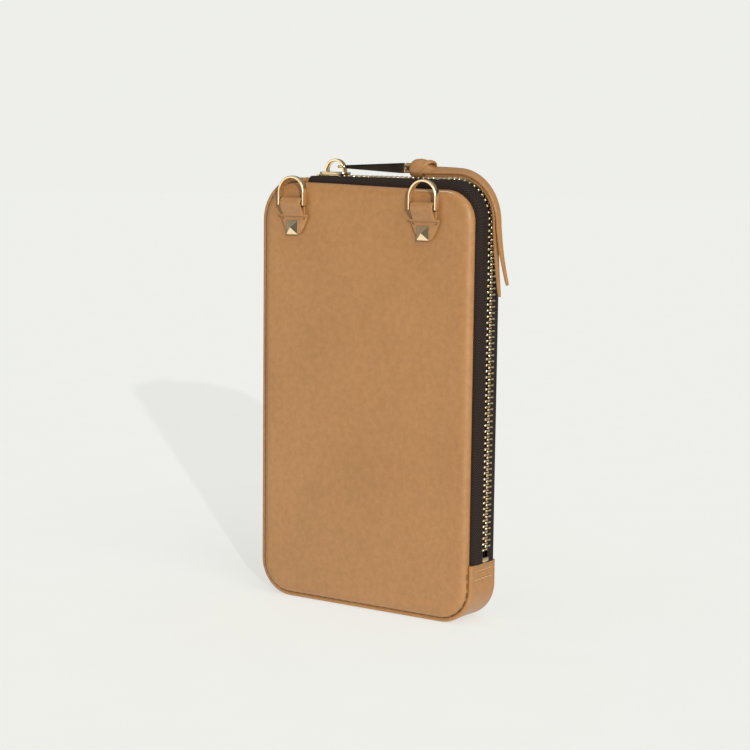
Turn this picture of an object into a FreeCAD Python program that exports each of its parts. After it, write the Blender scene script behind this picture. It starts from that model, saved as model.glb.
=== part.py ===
import FreeCAD, Part
import math
import os
import re
import Sketcher
from FreeCAD import Placement, Rotation, Vector

# A zip-around phone wallet: two padded leather panels joined by a leather gusset on the spine and the
# bottom, and by a metal zip along the top and the right side. Two upright strap rings sit on the front,
# and a zip puller carries a knotted leather pull.
# Frame: +X towards the zip side, -Y is the front, +Z up. The origin is the centre of the flat base.

doc = FreeCAD.newDocument("PhoneWallet")

# ---------------------------------------------------------------------------------------------------
# Driving sizes, in millimetres
# ---------------------------------------------------------------------------------------------------
SIZES = {
    # padded panels
    "panel_width": 109.4,
    "panel_height": 187.0,
    "panel_corner": 14.0,
    "spine_corner": 19.0,
    "panel_gap": 17.2,
    "leather_thick": 1.2,
    "front_foam": 1.8,
    "rear_foam": 1.0,
    "board_thick": 0.8,
    "lining_thick": 0.4,
    "rim_width": 2.0,
    "crown_round": 2.6,
    "layer_play": 0.1,
    # leather gusset and zip tapes, which bulge out past the panels' edges
    "gusset_bulge": 2.0,
    "seam_ridge": 1.5,
    "ridge_round": 0.6,
    "seam_width": 6.0,
    "tape_thick": 0.6,
    "tape_bulge": 2.8,
    "zip_start": 22.2,
    "zip_end": 24.8,
    "zip_end_play": 0.2,
    # zip teeth and stops
    "tooth_pitch": 2.6,
    "tooth_width": 1.15,
    "tooth_reach": 0.9,
    "tooth_length": 4.1,
    "tooth_height": 1.8,
    "tooth_round": 0.35,
    "tooth_grip": 1.2,
    "stop_room": 1.8,
    "stop_margin": 0.3,
    "stop_length": 2.4,
    "stop_width": 2.6,
    # slider and its arched bridge
    "slider_length": 14.0,
    "slider_width": 9.6,
    "slider_plate": 1.1,
    "slider_play": 0.12,
    "slider_corner": 2.2,
    "post_length": 3.0,
    "post_width": 2.0,
    "bridge_radius": 5.35,
    "bridge_band": 1.2,
    "bridge_depth": 3.0,
    "bridge_foot": 0.5,
    # metal puller
    "puller_rise": 1.9,
    "puller_eye_wall": 1.0,
    "puller_eye_slot": 2.4,
    "puller_eye_play": 0.25,
    "puller_eye_gap": 0.2,
    "puller_length": 33.2,
    "puller_thin": 1.2,
    "puller_thick": 4.4,
    "puller_width": 6.4,
    "puller_cheek": 0.7,
    "puller_window": 3.5,
    "crossbar_radius": 0.6,
    "crossbar_play": 0.08,
    # leather pull: loop, knot and two tails
    "pull_leather": 1.3,
    "pull_side_play": 0.2,
    "knot_length": 10.6,
    "knot_width": 9.0,
    "knot_height": 8.6,
    "knot_round": 2.4,
    "knot_offset": 0.45,
    "tail_length": 72.0,
    "tail_width": 6.5,
    "tail_tip": 2.6,
    "tail_lift": 0.35,
    "tail_splay": 4.4,
    # strap rings and their leather tabs
    "left_ring_inset": 18.1,
    "right_ring_inset": 22.2,
    "ring_drop": 9.2,
    "ring_width": 14.6,
    "ring_tall": 13.4,
    "ring_band": 1.3,
    "ring_depth": 3.3,
    "bar_radius": 1.3,
    "bar_play": 0.08,
    "tab_leather": 1.2,
    "tab_width": 11.0,
    "tab_straight": 0.6,
    "tab_crease": 6.0,
    "tab_drop": 24.0,
    "flap_top": 15.4,
    "flap_foot": 8.0,
    # pyramid studs that rivet the tabs to the front panel
    "stud_drop": 20.0,
    "stud_side": 6.3,
    "stud_rise": 2.8,
    "stem_radius": 1.0,
    "stem_play": 0.05,
    "cap_radius": 3.4,
    "cap_thick": 0.9,
    # card slots in the front half
    "card_inset": 9.5,
    "card_rise": 12.0,
    "card_headroom": 47.0,
    "card_step": 14.0,
    "card_thick": 0.6,
    "card_corner": 3.0,
    # phone pocket in the rear half
    "pocket_inset": 9.5,
    "pocket_rise": 6.0,
    "pocket_headroom": 31.0,
    "pocket_wall": 0.8,
    "cards_room": 1.8,
    "binding_tall": 8.0,
    "binding_thick": 0.8,
}
CARD_SLOTS = 4

sheet = doc.addObject("Spreadsheet::Sheet", "Sizes")
for row, (name, value) in enumerate(SIZES.items(), start=1):
    sheet.set(f"A{row}", name)
    sheet.set(f"B{row}", str(value))
    sheet.setAlias(f"B{row}", name)
doc.recompute()


def size(name):
    """Return one size from the sheet."""
    return float(getattr(sheet, name))


def expr(text):
    """Turn bare size names in an expression into references to the sheet."""
    return re.sub(r"[a-z_]{2,}", lambda word: f"Sizes.{word[0]}" if word[0] in SIZES else word[0], text)


# Distances from the middle plane, and heights, that several pieces share
GAP = "panel_gap / 2"
FRONT_DEPTH = "(leather_thick + front_foam + board_thick)"
REAR_DEPTH = "(leather_thick + rear_foam + board_thick)"
LINING_FACE = "(panel_gap / 2 - leather_thick - lining_thick)"
FRONT_FACE = f"(panel_gap / 2 + {FRONT_DEPTH})"
PANEL_TOP = "(gusset_bulge + panel_height)"
CHAIN_HEIGHT = f"({PANEL_TOP} + tape_bulge - tape_thick / 2)"
CHAIN_TOP = f"({CHAIN_HEIGHT} + tooth_height / 2)"
SLIDER_TOP = f"({CHAIN_TOP} + slider_play + slider_plate)"
BRIDGE_AXIS = f"({SLIDER_TOP} + bridge_foot)"
SLIDER_LEFT = "(zip_start + stop_room - panel_width / 2)"
SLIDER_X = f"({SLIDER_LEFT} + slider_length / 2)"
PULLER_START = f"({SLIDER_X} + bridge_radius + puller_eye_gap)"
CROSSBAR_X = f"({PULLER_START} + puller_length)"
BAR_FRONT = f"({FRONT_FACE} + tab_leather + bar_play + bar_radius)"
RING_X = {"left": "(left_ring_inset - panel_width / 2)", "right": "(panel_width / 2 - right_ring_inset)"}
RING_HEIGHT = f"({PANEL_TOP} - ring_drop)"
STUD_HEIGHT = f"({PANEL_TOP} - stud_drop)"


def value(text):
    """Work out an expression of size names as a number."""
    return float(sheet.evalExpression(expr(text).replace("Sizes.", "")))


# ---------------------------------------------------------------------------------------------------
# Small helpers for bodies, primitives and booleans
# ---------------------------------------------------------------------------------------------------
nodes = []


def keep(thing, label, placement=None):
    """Name an object as a sub-part of the wallet and place it."""
    thing.Label = label
    if placement is not None:
        thing.Placement = placement
    nodes.append(thing)
    return thing


def sketch_on(body, role, name, offset="0"):
    """A sketch on one origin plane of its body, moved off it by an expression."""
    plane = [p for p in body.Origin.OriginFeatures if p.Role == role][0]
    sketch = body.newObject("Sketcher::SketchObject", name)
    sketch.AttachmentSupport = [(plane, "")]
    sketch.MapMode = "FlatFace"
    sketch.setExpression("AttachmentOffset.Base.z", expr(offset))
    return sketch


def bind(sketch, constraint, text):
    """Add a constraint whose value is an expression."""
    index = sketch.addConstraint(constraint)
    sketch.setExpression(f"Constraints[{index}]", expr(text))


def round_rectangle(sketch, width, bottom, height, corner, spine=None):
    """A rectangle with round corners, centred across the sketch, from a height upwards. The spine's
    upper corner, an arc's number and its radius, may be rounder than the others."""
    ends = [(-15, 5), (15, 5), (20, 10), (20, 40), (15, 45), (-15, 45), (-20, 40), (-20, 10)]
    for i in range(0, 8, 2):
        sketch.addGeometry(Part.LineSegment(Vector(*ends[i], 0), Vector(*ends[i + 1], 0)), False)
    for i, centre in enumerate([(15, 10), (15, 40), (-15, 40), (-15, 10)]):
        circle = Part.Circle(Vector(*centre, 0), Vector(0, 0, 1), 5)
        sketch.addGeometry(Part.ArcOfCircle(circle, (i - 1) * math.pi / 2, i * math.pi / 2), False)
    for i in range(4):
        sketch.addConstraint(Sketcher.Constraint("Tangent", i, 2, i + 4, 1))
        sketch.addConstraint(Sketcher.Constraint("Tangent", i + 4, 2, (i + 1) % 4, 1))
    for i, kind in enumerate(["Vertical", "Horizontal", "Vertical"], start=1):
        sketch.addConstraint(Sketcher.Constraint(kind, i))
        if spine and spine[0] == i + 4:
            bind(sketch, Sketcher.Constraint("Radius", i + 4, 6.0), spine[1])
        else:
            sketch.addConstraint(Sketcher.Constraint("Equal", 4, i + 4))
    sketch.addConstraint(Sketcher.Constraint("Symmetric", 0, 1, 0, 2, -2))
    bind(sketch, Sketcher.Constraint("Radius", 4, 5.0), corner)
    bind(sketch, Sketcher.Constraint("DistanceX", 3, 1, 1, 1, 40.0), width)
    bind(sketch, Sketcher.Constraint("DistanceY", 0, 1, 2, 1, 40.0), height)
    bind(sketch, Sketcher.Constraint("DistanceY", -1, 1, 0, 1, 5.0), bottom)


def edges_where(shape, test):
    """Names of the edges that pass a test."""
    return [f"Edge{i}" for i, edge in enumerate(shape.Edges, start=1) if test(edge)]


def round_edges(body, base, test, radius, name):
    """Fillet the edges of a feature that pass a test."""
    doc.recompute()
    fillet = body.newObject("PartDesign::Fillet", name)
    fillet.Base = (base, edges_where(base.Shape, test))
    fillet.setExpression("Radius", expr(radius))
    return fillet


def plate(name, width, bottom, height, corner, near, thick, spine=None):
    """A body holding a plate with round corners, from a distance before the middle plane forwards."""
    body = doc.addObject("PartDesign::Body", name)
    sketch = sketch_on(body, "XZ_Plane", f"{name}_outline", near)
    round_rectangle(sketch, width, bottom, height, corner, spine)
    pad = body.newObject("PartDesign::Pad", f"{name}_pad")
    pad.Profile = sketch
    pad.setExpression("Length", expr(thick))
    doc.recompute()
    return body


def stud_holes(body, near, depth):
    """Cut the two stem holes of the studs through a piece of the front panel."""
    before = body.Tip.Shape.Volume
    sketch = sketch_on(body, "XZ_Plane", f"{body.Name}_stem_holes", near)
    for i, x in enumerate(RING_X.values()):
        sketch.addGeometry(Part.Circle(Vector(value(x), value(STUD_HEIGHT), 0), Vector(0, 0, 1), 1.0), False)
        for kind, text in [("DistanceX", x), ("DistanceY", STUD_HEIGHT)]:
            bind(sketch, Sketcher.Constraint(kind, -1, 1, i, 3, value(text)), text)
        bind(sketch, Sketcher.Constraint("Radius", i, 1.0), "stem_radius + stem_play")
    pocket = body.newObject("PartDesign::Pocket", f"{body.Name}_stems")
    pocket.Profile = sketch
    pocket.setExpression("Length", expr(depth))
    pocket.Reversed = True
    doc.recompute()
    if not pocket.Shape.Volume < before:
        raise ValueError(f"{body.Name}: the stem holes cut nothing")


def box(name, length, width, height, x, y, z):
    """A Part box whose low corner and sizes are expressions."""
    thing = doc.addObject("Part::Box", name)
    for prop, text in [("Length", length), ("Width", width), ("Height", height)]:
        thing.setExpression(prop, expr(text))
    for axis, text in [("x", x), ("y", y), ("z", z)]:
        thing.setExpression(f"Placement.Base.{axis}", expr(text))
    return thing


def cylinder(name, radius, length, x, y, z, along):
    """A Part cylinder that starts at a point and runs along +X, +Y or +Z."""
    thing = doc.addObject("Part::Cylinder", name)
    turn = {"x": Rotation(Vector(0, 1, 0), 90), "y": Rotation(Vector(1, 0, 0), -90), "z": Rotation()}
    thing.Placement = Placement(Vector(), turn[along])
    thing.setExpression("Radius", expr(radius))
    thing.setExpression("Height", expr(length))
    for axis, text in [("x", x), ("y", y), ("z", z)]:
        thing.setExpression(f"Placement.Base.{axis}", expr(text))
    return thing


def combine(kind, name, base, tool):
    """A Part::Cut, Part::Fuse or Part::Common of two objects."""
    thing = doc.addObject(f"Part::{kind}", name)
    thing.Base = base
    thing.Tool = tool
    doc.recompute()
    return thing


def free_shape(label, shape):
    """A sub-part whose shape is made with Part's own functions."""
    thing = doc.addObject("Part::Feature", label)
    thing.Shape = shape
    return keep(thing, label, Placement())


BACK_TO_BACK = Placement(Vector(), Rotation(Vector(0, 0, 1), 180))


# ---------------------------------------------------------------------------------------------------
# Padded panels: each a leather tray over foam and board, with a lining inside
# ---------------------------------------------------------------------------------------------------
SPINE_ARC = {"front": 6, "rear": 5}


def cover(side):
    """The leather of one panel: a shallow tray with a rolled edge, open towards the middle plane."""
    name = f"{side}_cover"
    foam = f"{side}_foam"
    depth = f"(leather_thick + {foam} + board_thick)"
    spine = (SPINE_ARC[side], "spine_corner")
    body = plate(name, "panel_width", "gusset_bulge", "panel_height", "panel_corner", GAP, depth, spine)
    outer_y = -value(f"{GAP} + {depth}")
    is_outer = lambda edge: all(abs(v.Y - outer_y) < 1e-6 for v in edge.Vertexes)
    round_edges(body, body.Tip, is_outer, "crown_round", f"{name}_roll")
    doc.recompute()
    before = body.Tip.Shape.Volume
    sketch = sketch_on(body, "XZ_Plane", f"{name}_hollow_outline", GAP)
    inner_width = "panel_width - 2 * rim_width"
    inner_height = "panel_height - 2 * rim_width"
    inner_corner = "panel_corner - rim_width"
    inner_spine = (SPINE_ARC[side], "spine_corner - rim_width")
    round_rectangle(sketch, inner_width, "gusset_bulge + rim_width", inner_height, inner_corner, inner_spine)
    hollow = body.newObject("PartDesign::Pocket", f"{name}_hollow")
    hollow.Profile = sketch
    hollow.Reversed = True
    hollow.setExpression("Length", expr(f"{foam} + board_thick"))
    doc.recompute()
    if not hollow.Shape.Volume < 0.6 * before:
        raise ValueError(f"{name}: the hollow cut nothing")
    return body


def layer(side, label, inset, near, thick):
    """A flat layer of a panel, with its edge set in from the panel's own edge."""
    width = f"panel_width - 2 * ({inset})"
    height = f"panel_height - 2 * ({inset})"
    corner = f"panel_corner - ({inset})"
    spine = (SPINE_ARC[side], f"spine_corner - ({inset})")
    return plate(f"{side}_{label}", width, f"gusset_bulge + {inset}", height, corner, near, thick, spine)


def panels():
    """The four layers of the front and the rear panel."""
    tucked = "rim_width + layer_play"
    for side, foam in [("front", "front_foam"), ("rear", "rear_foam")]:
        place = Placement() if side == "front" else BACK_TO_BACK
        leather = cover(side)
        padding = layer(side, "padding", tucked, f"{GAP} + board_thick", foam)
        board = layer(side, "stiffener", tucked, GAP, "board_thick")
        lining = layer(side, "lining", "rim_width", LINING_FACE, "lining_thick")
        if side == "front":
            stud_holes(leather, GAP, f"{FRONT_DEPTH} + 1")
            stud_holes(padding, GAP, f"{FRONT_DEPTH} + 1")
            stud_holes(board, GAP, f"{FRONT_DEPTH} + 1")
        pieces = {"cover": leather, "padding": padding, "stiffener": board, "lining": lining}
        for label, body in pieces.items():
            keep(body, f"{side}_{label}", place)


# ---------------------------------------------------------------------------------------------------
# Strips that run along the panels' edge: the gusset and the two zip tapes
# ---------------------------------------------------------------------------------------------------
def strip_face(outer, inner):
    """Close a strip's outer and inner lines, each a list of edges, into one face."""
    first = Part.makeLine(outer[-1].Vertexes[-1].Point, inner[0].Vertexes[0].Point)
    last = Part.makeLine(inner[-1].Vertexes[-1].Point, outer[0].Vertexes[0].Point)
    return Part.Face(Part.Wire(outer + [first] + inner + [last]))


def bend(centre, radius, start, end):
    """An arc between two directions, in degrees, given from its start to its end."""
    points = []
    for degrees in (start, (start + end) / 2, end):
        angle = math.radians(degrees)
        points.append(centre + Vector(math.cos(angle), math.sin(angle), 0) * radius)
    return Part.Arc(*points).toShape()


def line(a, b):
    """A straight edge between two (outwards, depth) pairs."""
    return Part.makeLine(Vector(a[0], a[1], 0), Vector(b[0], b[1], 0))


def tape_profile(side):
    """One zip tape: its seam under the panel, its bend, and its free edge in the teeth's grip."""
    gap = size("panel_gap") / 2
    thick = size("tape_thick")
    out = size("tape_bulge")
    seam = size("seam_width")
    edge = side * (size("tooth_length") - size("tooth_reach") - size("tooth_grip"))
    middle = Vector(0, side * (gap - out), 0)
    turn = side * 90
    outer = [line((-seam, side * gap), (0, side * gap))]
    outer.append(bend(middle, out, turn, 0))
    outer.append(line((out, middle.y), (out, edge)))
    inner = [line((out - thick, edge), (out - thick, middle.y))]
    inner.append(bend(middle, out - thick, 0, turn))
    inner.append(line((0, side * (gap - thick)), (-seam, side * (gap - thick))))
    return strip_face(outer, inner)


def gusset_profile():
    """The gusset: seams under both panels, a ridge of turned leather beside each, and a flat back."""
    gap = size("panel_gap") / 2
    thick = size("leather_thick")
    out = size("gusset_bulge")
    seam = size("seam_width")
    curl = size("ridge_round")
    ridge = gap + size("seam_ridge")
    outer = [line((-seam, -gap), (0, -gap)), line((0, -gap), (0, -ridge))]
    outer.append(line((0, -ridge), (out - curl, -ridge)))
    outer.append(bend(Vector(out - curl, curl - ridge, 0), curl, -90, 0))
    outer.append(line((out, curl - ridge), (out, ridge - curl)))
    outer.append(bend(Vector(out - curl, ridge - curl, 0), curl, 0, 90))
    outer.append(line((out - curl, ridge), (0, ridge)))
    outer += [line((0, ridge), (0, gap)), line((0, gap), (-seam, gap))]
    inner = [line((-seam, gap - thick), (0, gap - thick))]
    inner.append(bend(Vector(0, gap - out, 0), out - thick, 90, 0))
    inner.append(line((out - thick, gap - out), (out - thick, out - gap)))
    inner.append(bend(Vector(0, out - gap, 0), out - thick, 0, -90))
    inner.append(line((0, thick - gap), (-seam, thick - gap)))
    return strip_face(outer, inner)


def stand_at(x, z, degrees):
    """Placement that turns (outwards, depth) into the frame at a point of the panels' edge."""
    angle = math.radians(degrees)
    outwards = Vector(math.cos(angle), 0, math.sin(angle))
    depth = Vector(0, 1, 0)
    across = outwards.cross(depth)
    matrix = FreeCAD.Matrix(outwards, depth, across, Vector(x, 0, z))
    return Placement(matrix)


def straight_run(face, start, end, degrees):
    """Extrude a strip's face from one point of the edge to another."""
    placed = face.copy()
    placed.Placement = stand_at(start[0], start[1], degrees)
    return placed.extrude(Vector(end[0] - start[0], 0, end[1] - start[1]))


def corner_run(face, centre, degrees, corner="panel_corner"):
    """Turn a strip's face a quarter circle about a corner, clockwise as seen from the front."""
    radius = size(corner)
    angle = math.radians(degrees)
    placed = face.copy()
    x = centre[0] + radius * math.cos(angle)
    z = centre[1] + radius * math.sin(angle)
    placed.Placement = stand_at(x, z, degrees)
    return placed.revolve(Vector(centre[0], 0, centre[1]), Vector(0, 1, 0), 90)


def joined(pieces):
    """Fuse the runs of one strip into a single clean solid."""
    shape = pieces[0].multiFuse(pieces[1:]).removeSplitter()
    return shape.Solids[0] if len(shape.Solids) == 1 else shape


def edge_box():
    """The straight parts' ends: inner half width, bottom and top of the corners' centres."""
    corner = size("panel_corner")
    half = size("panel_width") / 2
    low = size("gusset_bulge")
    high = low + size("panel_height")
    return half, low, high, half - corner, low + corner, high - corner


def tape(side):
    """One zip tape along the top, round the corner and down the zip side."""
    half, low, high, inner, _, upper = edge_box()
    face = tape_profile(side)
    top = straight_run(face, (size("zip_start") - half, high), (inner, high), 90)
    turn = corner_run(face, (inner, upper), 90)
    down = straight_run(face, (half, upper), (half, low + size("zip_end")), 0)
    return joined([top, turn, down])


def gusset():
    """The gusset, from the zip's foot round the bottom and up the spine to the zip's start."""
    half, low, high, inner, lower, _ = edge_box()
    spine = size("spine_corner")
    play = size("zip_end_play")
    face = gusset_profile()
    pieces = [straight_run(face, (half, low + size("zip_end") - play), (half, lower), 0)]
    pieces.append(corner_run(face, (inner, lower), 0))
    pieces.append(straight_run(face, (inner, low), (-inner, low), 270))
    pieces.append(corner_run(face, (-inner, lower), 270))
    pieces.append(straight_run(face, (-half, lower), (-half, high - spine), 180))
    pieces.append(corner_run(face, (spine - half, high - spine), 180, "spine_corner"))
    pieces.append(straight_run(face, (spine - half, high), (size("zip_start") - half - play, high), 90))
    return joined(pieces)


# ---------------------------------------------------------------------------------------------------
# Zip teeth and stops
# ---------------------------------------------------------------------------------------------------
def along_edge(distance, offset):
    """Point and outward direction at a distance past x = 0 of the top, on a line outside the edge."""
    half, _, high, inner, _, upper = edge_box()
    radius = size("panel_corner") + offset
    quarter = radius * math.pi / 2
    if distance <= inner:
        return distance, high + offset, 90.0
    if distance <= inner + quarter:
        degrees = 90.0 - math.degrees((distance - inner) / radius)
        angle = math.radians(degrees)
        return inner + radius * math.cos(angle), upper + radius * math.sin(angle), degrees
    return half + offset, upper - (distance - inner - quarter), 0.0


def chain_line():
    """Offset of the teeth's middle from the edge, and the distances where the chain starts and ends."""
    _, low, _, inner, _, upper = edge_box()
    offset = size("tape_bulge") - size("tape_thick") / 2
    quarter = (size("panel_corner") + offset) * math.pi / 2
    start = value(SLIDER_LEFT) + size("post_length") + size("tooth_pitch")
    end = inner + quarter + upper - low - size("zip_end") - size("stop_length") - size("tooth_pitch")
    return offset, start, end


def tooth(side):
    """One tooth across its tape's edge, with its head past the middle and a slot that grips the tape."""
    tall = size("tooth_height")
    wide = size("tooth_width")
    long = size("tooth_length")
    reach = size("tooth_reach")
    grip = size("tooth_grip")
    slot = size("tape_thick")
    foot = side * (long - reach)
    head = -side * reach
    block = Part.makeBox(tall, long, wide, Vector(-tall / 2, min(foot, head), -wide / 2))
    is_head = lambda e: all(abs(v.Y - head) < 1e-6 for v in e.Vertexes)
    block = block.makeFillet(size("tooth_round"), [e for e in block.Edges if is_head(e)])
    slot_y = min(foot, foot - side * grip)
    return block.cut(Part.makeBox(slot, grip, wide, Vector(-slot / 2, slot_y, -wide / 2)))


def teeth(side):
    """All the teeth of one tape; the two rows stand half a pitch apart so that they mesh."""
    offset, start, end = chain_line()
    pitch = size("tooth_pitch")
    one = tooth(side)
    distance = start if side < 0 else start + pitch / 2
    row = []
    while distance <= end:
        x, z, degrees = along_edge(distance, offset)
        piece = one.copy()
        piece.Placement = stand_at(x, z, degrees)
        row.append(piece)
        distance += pitch
    return Part.makeCompound(row)


def top_stop(side):
    """A metal clip on one tape's edge, at the closed end of the zip."""
    offset, _, _ = chain_line()
    tall = size("tooth_height")
    wide = size("stop_width")
    grip = size("tooth_grip")
    slot = size("tape_thick")
    margin = size("stop_margin")
    x = value(SLIDER_LEFT) - size("stop_room") + margin
    length = size("stop_room") - 2 * margin
    outside = side * (size("tooth_length") - size("tooth_reach"))
    low_y = min(outside, outside - side * wide)
    z = edge_box()[2] + offset
    clip = Part.makeBox(length, wide, tall, Vector(x, low_y, z - tall / 2))
    slot_y = min(outside, outside - side * grip)
    return clip.cut(Part.makeBox(length, grip, slot, Vector(x, slot_y, z - slot / 2)))


def bottom_stop():
    """The metal clip across both tapes' edges, at the zip's foot."""
    offset, _, end = chain_line()
    tall = size("tooth_height")
    long = size("stop_length")
    span = 2 * (size("tooth_length") - size("tooth_reach"))
    edge = size("tooth_length") - size("tooth_reach") - size("tooth_grip")
    half, low = edge_box()[:2]
    z = low + size("zip_end") + size("stop_margin")
    x = half + offset
    thick = size("tape_thick")
    clip = Part.makeBox(tall, span, long, Vector(x - tall / 2, -span / 2, z))
    for y in (-span / 2, edge):
        clip = clip.cut(Part.makeBox(thick, span / 2 - edge, long, Vector(x - thick / 2, y, z)))
    return clip


def zip_pieces():
    """Gusset, tapes, teeth and stops."""
    free_shape("gusset", gusset())
    for side, name in [(-1, "front"), (1, "rear")]:
        free_shape(f"zip_tape_{name}", tape(side))
        free_shape(f"zip_teeth_{name}", teeth(side))
        free_shape(f"zip_top_stop_{name}", top_stop(side))
    free_shape("zip_bottom_stop", bottom_stop())


# ---------------------------------------------------------------------------------------------------
# Slider, bridge and puller
# ---------------------------------------------------------------------------------------------------
def slider():
    """Two plates joined by a post at the open end, with a channel for the chain and slots for tapes."""
    inside = "(tooth_height + 2 * slider_play)"
    bottom = f"{CHAIN_HEIGHT} - {inside} / 2 - slider_plate"
    left = SLIDER_LEFT
    tall = f"{inside} + 2 * slider_plate"
    block = box("slider_block", "slider_length", "slider_width", tall, left, "-slider_width / 2", bottom)
    doc.recompute()
    rounded = doc.addObject("Part::Fillet", "slider_rounded")
    rounded.Base = block
    upright = []
    for i, edge in enumerate(block.Shape.Edges, start=1):
        ends = [v.Point for v in edge.Vertexes]
        if math.hypot(ends[0].x - ends[1].x, ends[0].y - ends[1].y) < 1e-6:
            upright.append((i, size("slider_corner"), size("slider_corner")))
    rounded.Edges = upright
    chain_width = "2 * (tooth_length - tooth_reach + slider_play)"
    channel = box(
        "slider_channel",
        "slider_length",
        chain_width,
        inside,
        left,
        "-(tooth_length - tooth_reach + slider_play)",
        f"{CHAIN_HEIGHT} - {inside} / 2",
    )
    slot = box(
        "slider_slot",
        "slider_length",
        "slider_width",
        "tape_thick + 2 * slider_play",
        left,
        "-slider_width / 2",
        f"{CHAIN_HEIGHT} - tape_thick / 2 - slider_play",
    )
    hollow = combine("Fuse", "slider_hollow", channel, slot)
    plates = combine("Cut", "slider_plates", rounded, hollow)
    floor = f"{CHAIN_HEIGHT} - {inside} / 2"
    post = box("slider_post", "post_length", "post_width", inside, left, "-post_width / 2", floor)
    keep(combine("Fuse", "slider_body_shape", plates, post), "slider_body")


def bridge():
    """The slider's half-round arch, which the puller's eye runs along."""
    left = f"{SLIDER_X} - bridge_radius"
    start_y = "-bridge_depth / 2"
    outer = cylinder("bridge_outer", "bridge_radius", "bridge_depth", SLIDER_X, start_y, BRIDGE_AXIS, "y")
    hole = "bridge_radius - bridge_band"
    inner = cylinder("bridge_inner", hole, "bridge_depth", SLIDER_X, start_y, BRIDGE_AXIS, "y")
    ring = combine("Cut", "bridge_ring", outer, inner)
    width = "2 * bridge_radius"
    above = box("bridge_above", width, "bridge_depth", "bridge_radius", left, start_y, BRIDGE_AXIS)
    arch = combine("Common", "bridge_arch", ring, above)
    foot = ("bridge_band", "bridge_depth", "bridge_foot")
    foot_left = box("bridge_foot_left", *foot, left, start_y, SLIDER_TOP)
    foot_right = box("bridge_foot_right", *foot, f"{SLIDER_X} + {hole}", start_y, SLIDER_TOP)
    feet = combine("Fuse", "bridge_feet", foot_left, foot_right)
    keep(combine("Fuse", "bridge_shape", arch, feet), "slider_bridge")


def puller():
    """The metal puller: an eye round the bridge, a tapered bar, and a fork with a crossbar."""
    level = f"({BRIDGE_AXIS} + puller_rise)"
    eye_depth = "(bridge_depth + 2 * puller_eye_play)"
    eye_length = "(puller_eye_slot + 2 * puller_eye_wall)"
    eye_left = f"({PULLER_START} - puller_eye_wall - puller_eye_slot)"
    eye_half = f"({eye_depth} / 2 + puller_eye_wall)"
    eye_low = f"{level} - puller_thin / 2"
    frame = box("eye_frame", eye_length, f"2 * {eye_half}", "puller_thin", eye_left, f"-{eye_half}", eye_low)
    hole = box(
        "eye_hole",
        "puller_eye_slot",
        eye_depth,
        "puller_thin",
        f"{eye_left} + puller_eye_wall",
        f"-{eye_depth} / 2",
        eye_low,
    )
    eye = combine("Cut", "puller_eye", frame, hole)
    bar = doc.addObject("Part::Wedge", "puller_taper")
    fork_start = f"({CROSSBAR_X} + crossbar_radius - puller_window)"
    bar.Placement = Placement(Vector(), Rotation(Vector(0, 0, 1), -90))
    wedge = [("Ymin", "0"), ("Ymax", f"{fork_start} - {PULLER_START}")]
    wedge += [("Xmin", f"-{eye_half}"), ("Xmax", eye_half)]
    wedge += [("Zmin", "-puller_thin / 2"), ("Zmax", "puller_thin / 2")]
    wedge += [("X2min", "-puller_width / 2"), ("X2max", "puller_width / 2")]
    wedge += [("Z2min", "-puller_thick / 2"), ("Z2max", "puller_thick / 2")]
    for prop, text in wedge:
        bar.setExpression(prop, expr(text))
    bar.setExpression("Placement.Base.x", expr(PULLER_START))
    bar.setExpression("Placement.Base.z", expr(level))
    arm = combine("Fuse", "puller_arm", eye, bar)
    fork = box(
        "fork_block",
        "puller_window",
        "puller_width",
        "puller_thick",
        fork_start,
        "-puller_width / 2",
        f"{level} - puller_thick / 2",
    )
    window = box(
        "fork_window",
        "puller_window",
        "puller_width - 2 * puller_cheek",
        "puller_thick",
        f"{fork_start} + 0.6",
        "puller_cheek - puller_width / 2",
        f"{level} - puller_thick / 2",
    )
    cheeks = combine("Cut", "fork_cheeks", fork, window)
    rod = cylinder("crossbar", "crossbar_radius", "puller_width", CROSSBAR_X, "-puller_width / 2", level, "y")
    end = combine("Fuse", "fork", cheeks, rod)
    keep(combine("Fuse", "puller_shape", arm, end), "puller_bar")


# ---------------------------------------------------------------------------------------------------
# Leather pull
# ---------------------------------------------------------------------------------------------------
def pull_loop():
    """The loop of leather that goes round the puller's crossbar and into the knot."""
    level = f"({BRIDGE_AXIS} + puller_rise)"
    hole = "(crossbar_radius + crossbar_play)"
    width = "(puller_width - 2 * puller_cheek - 2 * pull_side_play)"
    outer = cylinder("loop_outer", f"{hole} + pull_leather", width, CROSSBAR_X, f"-{width} / 2", level, "y")
    neck = box(
        "loop_neck",
        f"{hole} + pull_leather + knot_offset",
        width,
        f"2 * {hole}",
        CROSSBAR_X,
        f"-{width} / 2",
        f"{level} - {hole}",
    )
    solid = combine("Fuse", "loop_solid", outer, neck)
    inner = cylinder("loop_inner", hole, width, CROSSBAR_X, f"-{width} / 2", level, "y")
    keep(combine("Cut", "loop_shape", solid, inner), "pull_loop")


KNOT_LEFT = f"({CROSSBAR_X} + crossbar_radius + crossbar_play + pull_leather + knot_offset)"


def pull_knot():
    """The knot, a soft rounded block that rests on the zip."""
    block = box(
        "knot_block",
        "knot_length",
        "knot_width",
        "knot_height",
        KNOT_LEFT,
        "-knot_width / 2",
        f"{CHAIN_TOP} + tail_lift",
    )
    doc.recompute()
    rounded = doc.addObject("Part::Fillet", "knot_rounded")
    rounded.Base = block
    radius = min(size("knot_round"), size("knot_height") / 2.2)
    rounded.Edges = [(i, radius, radius) for i in range(1, 13)]
    keep(rounded, "pull_knot")


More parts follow.
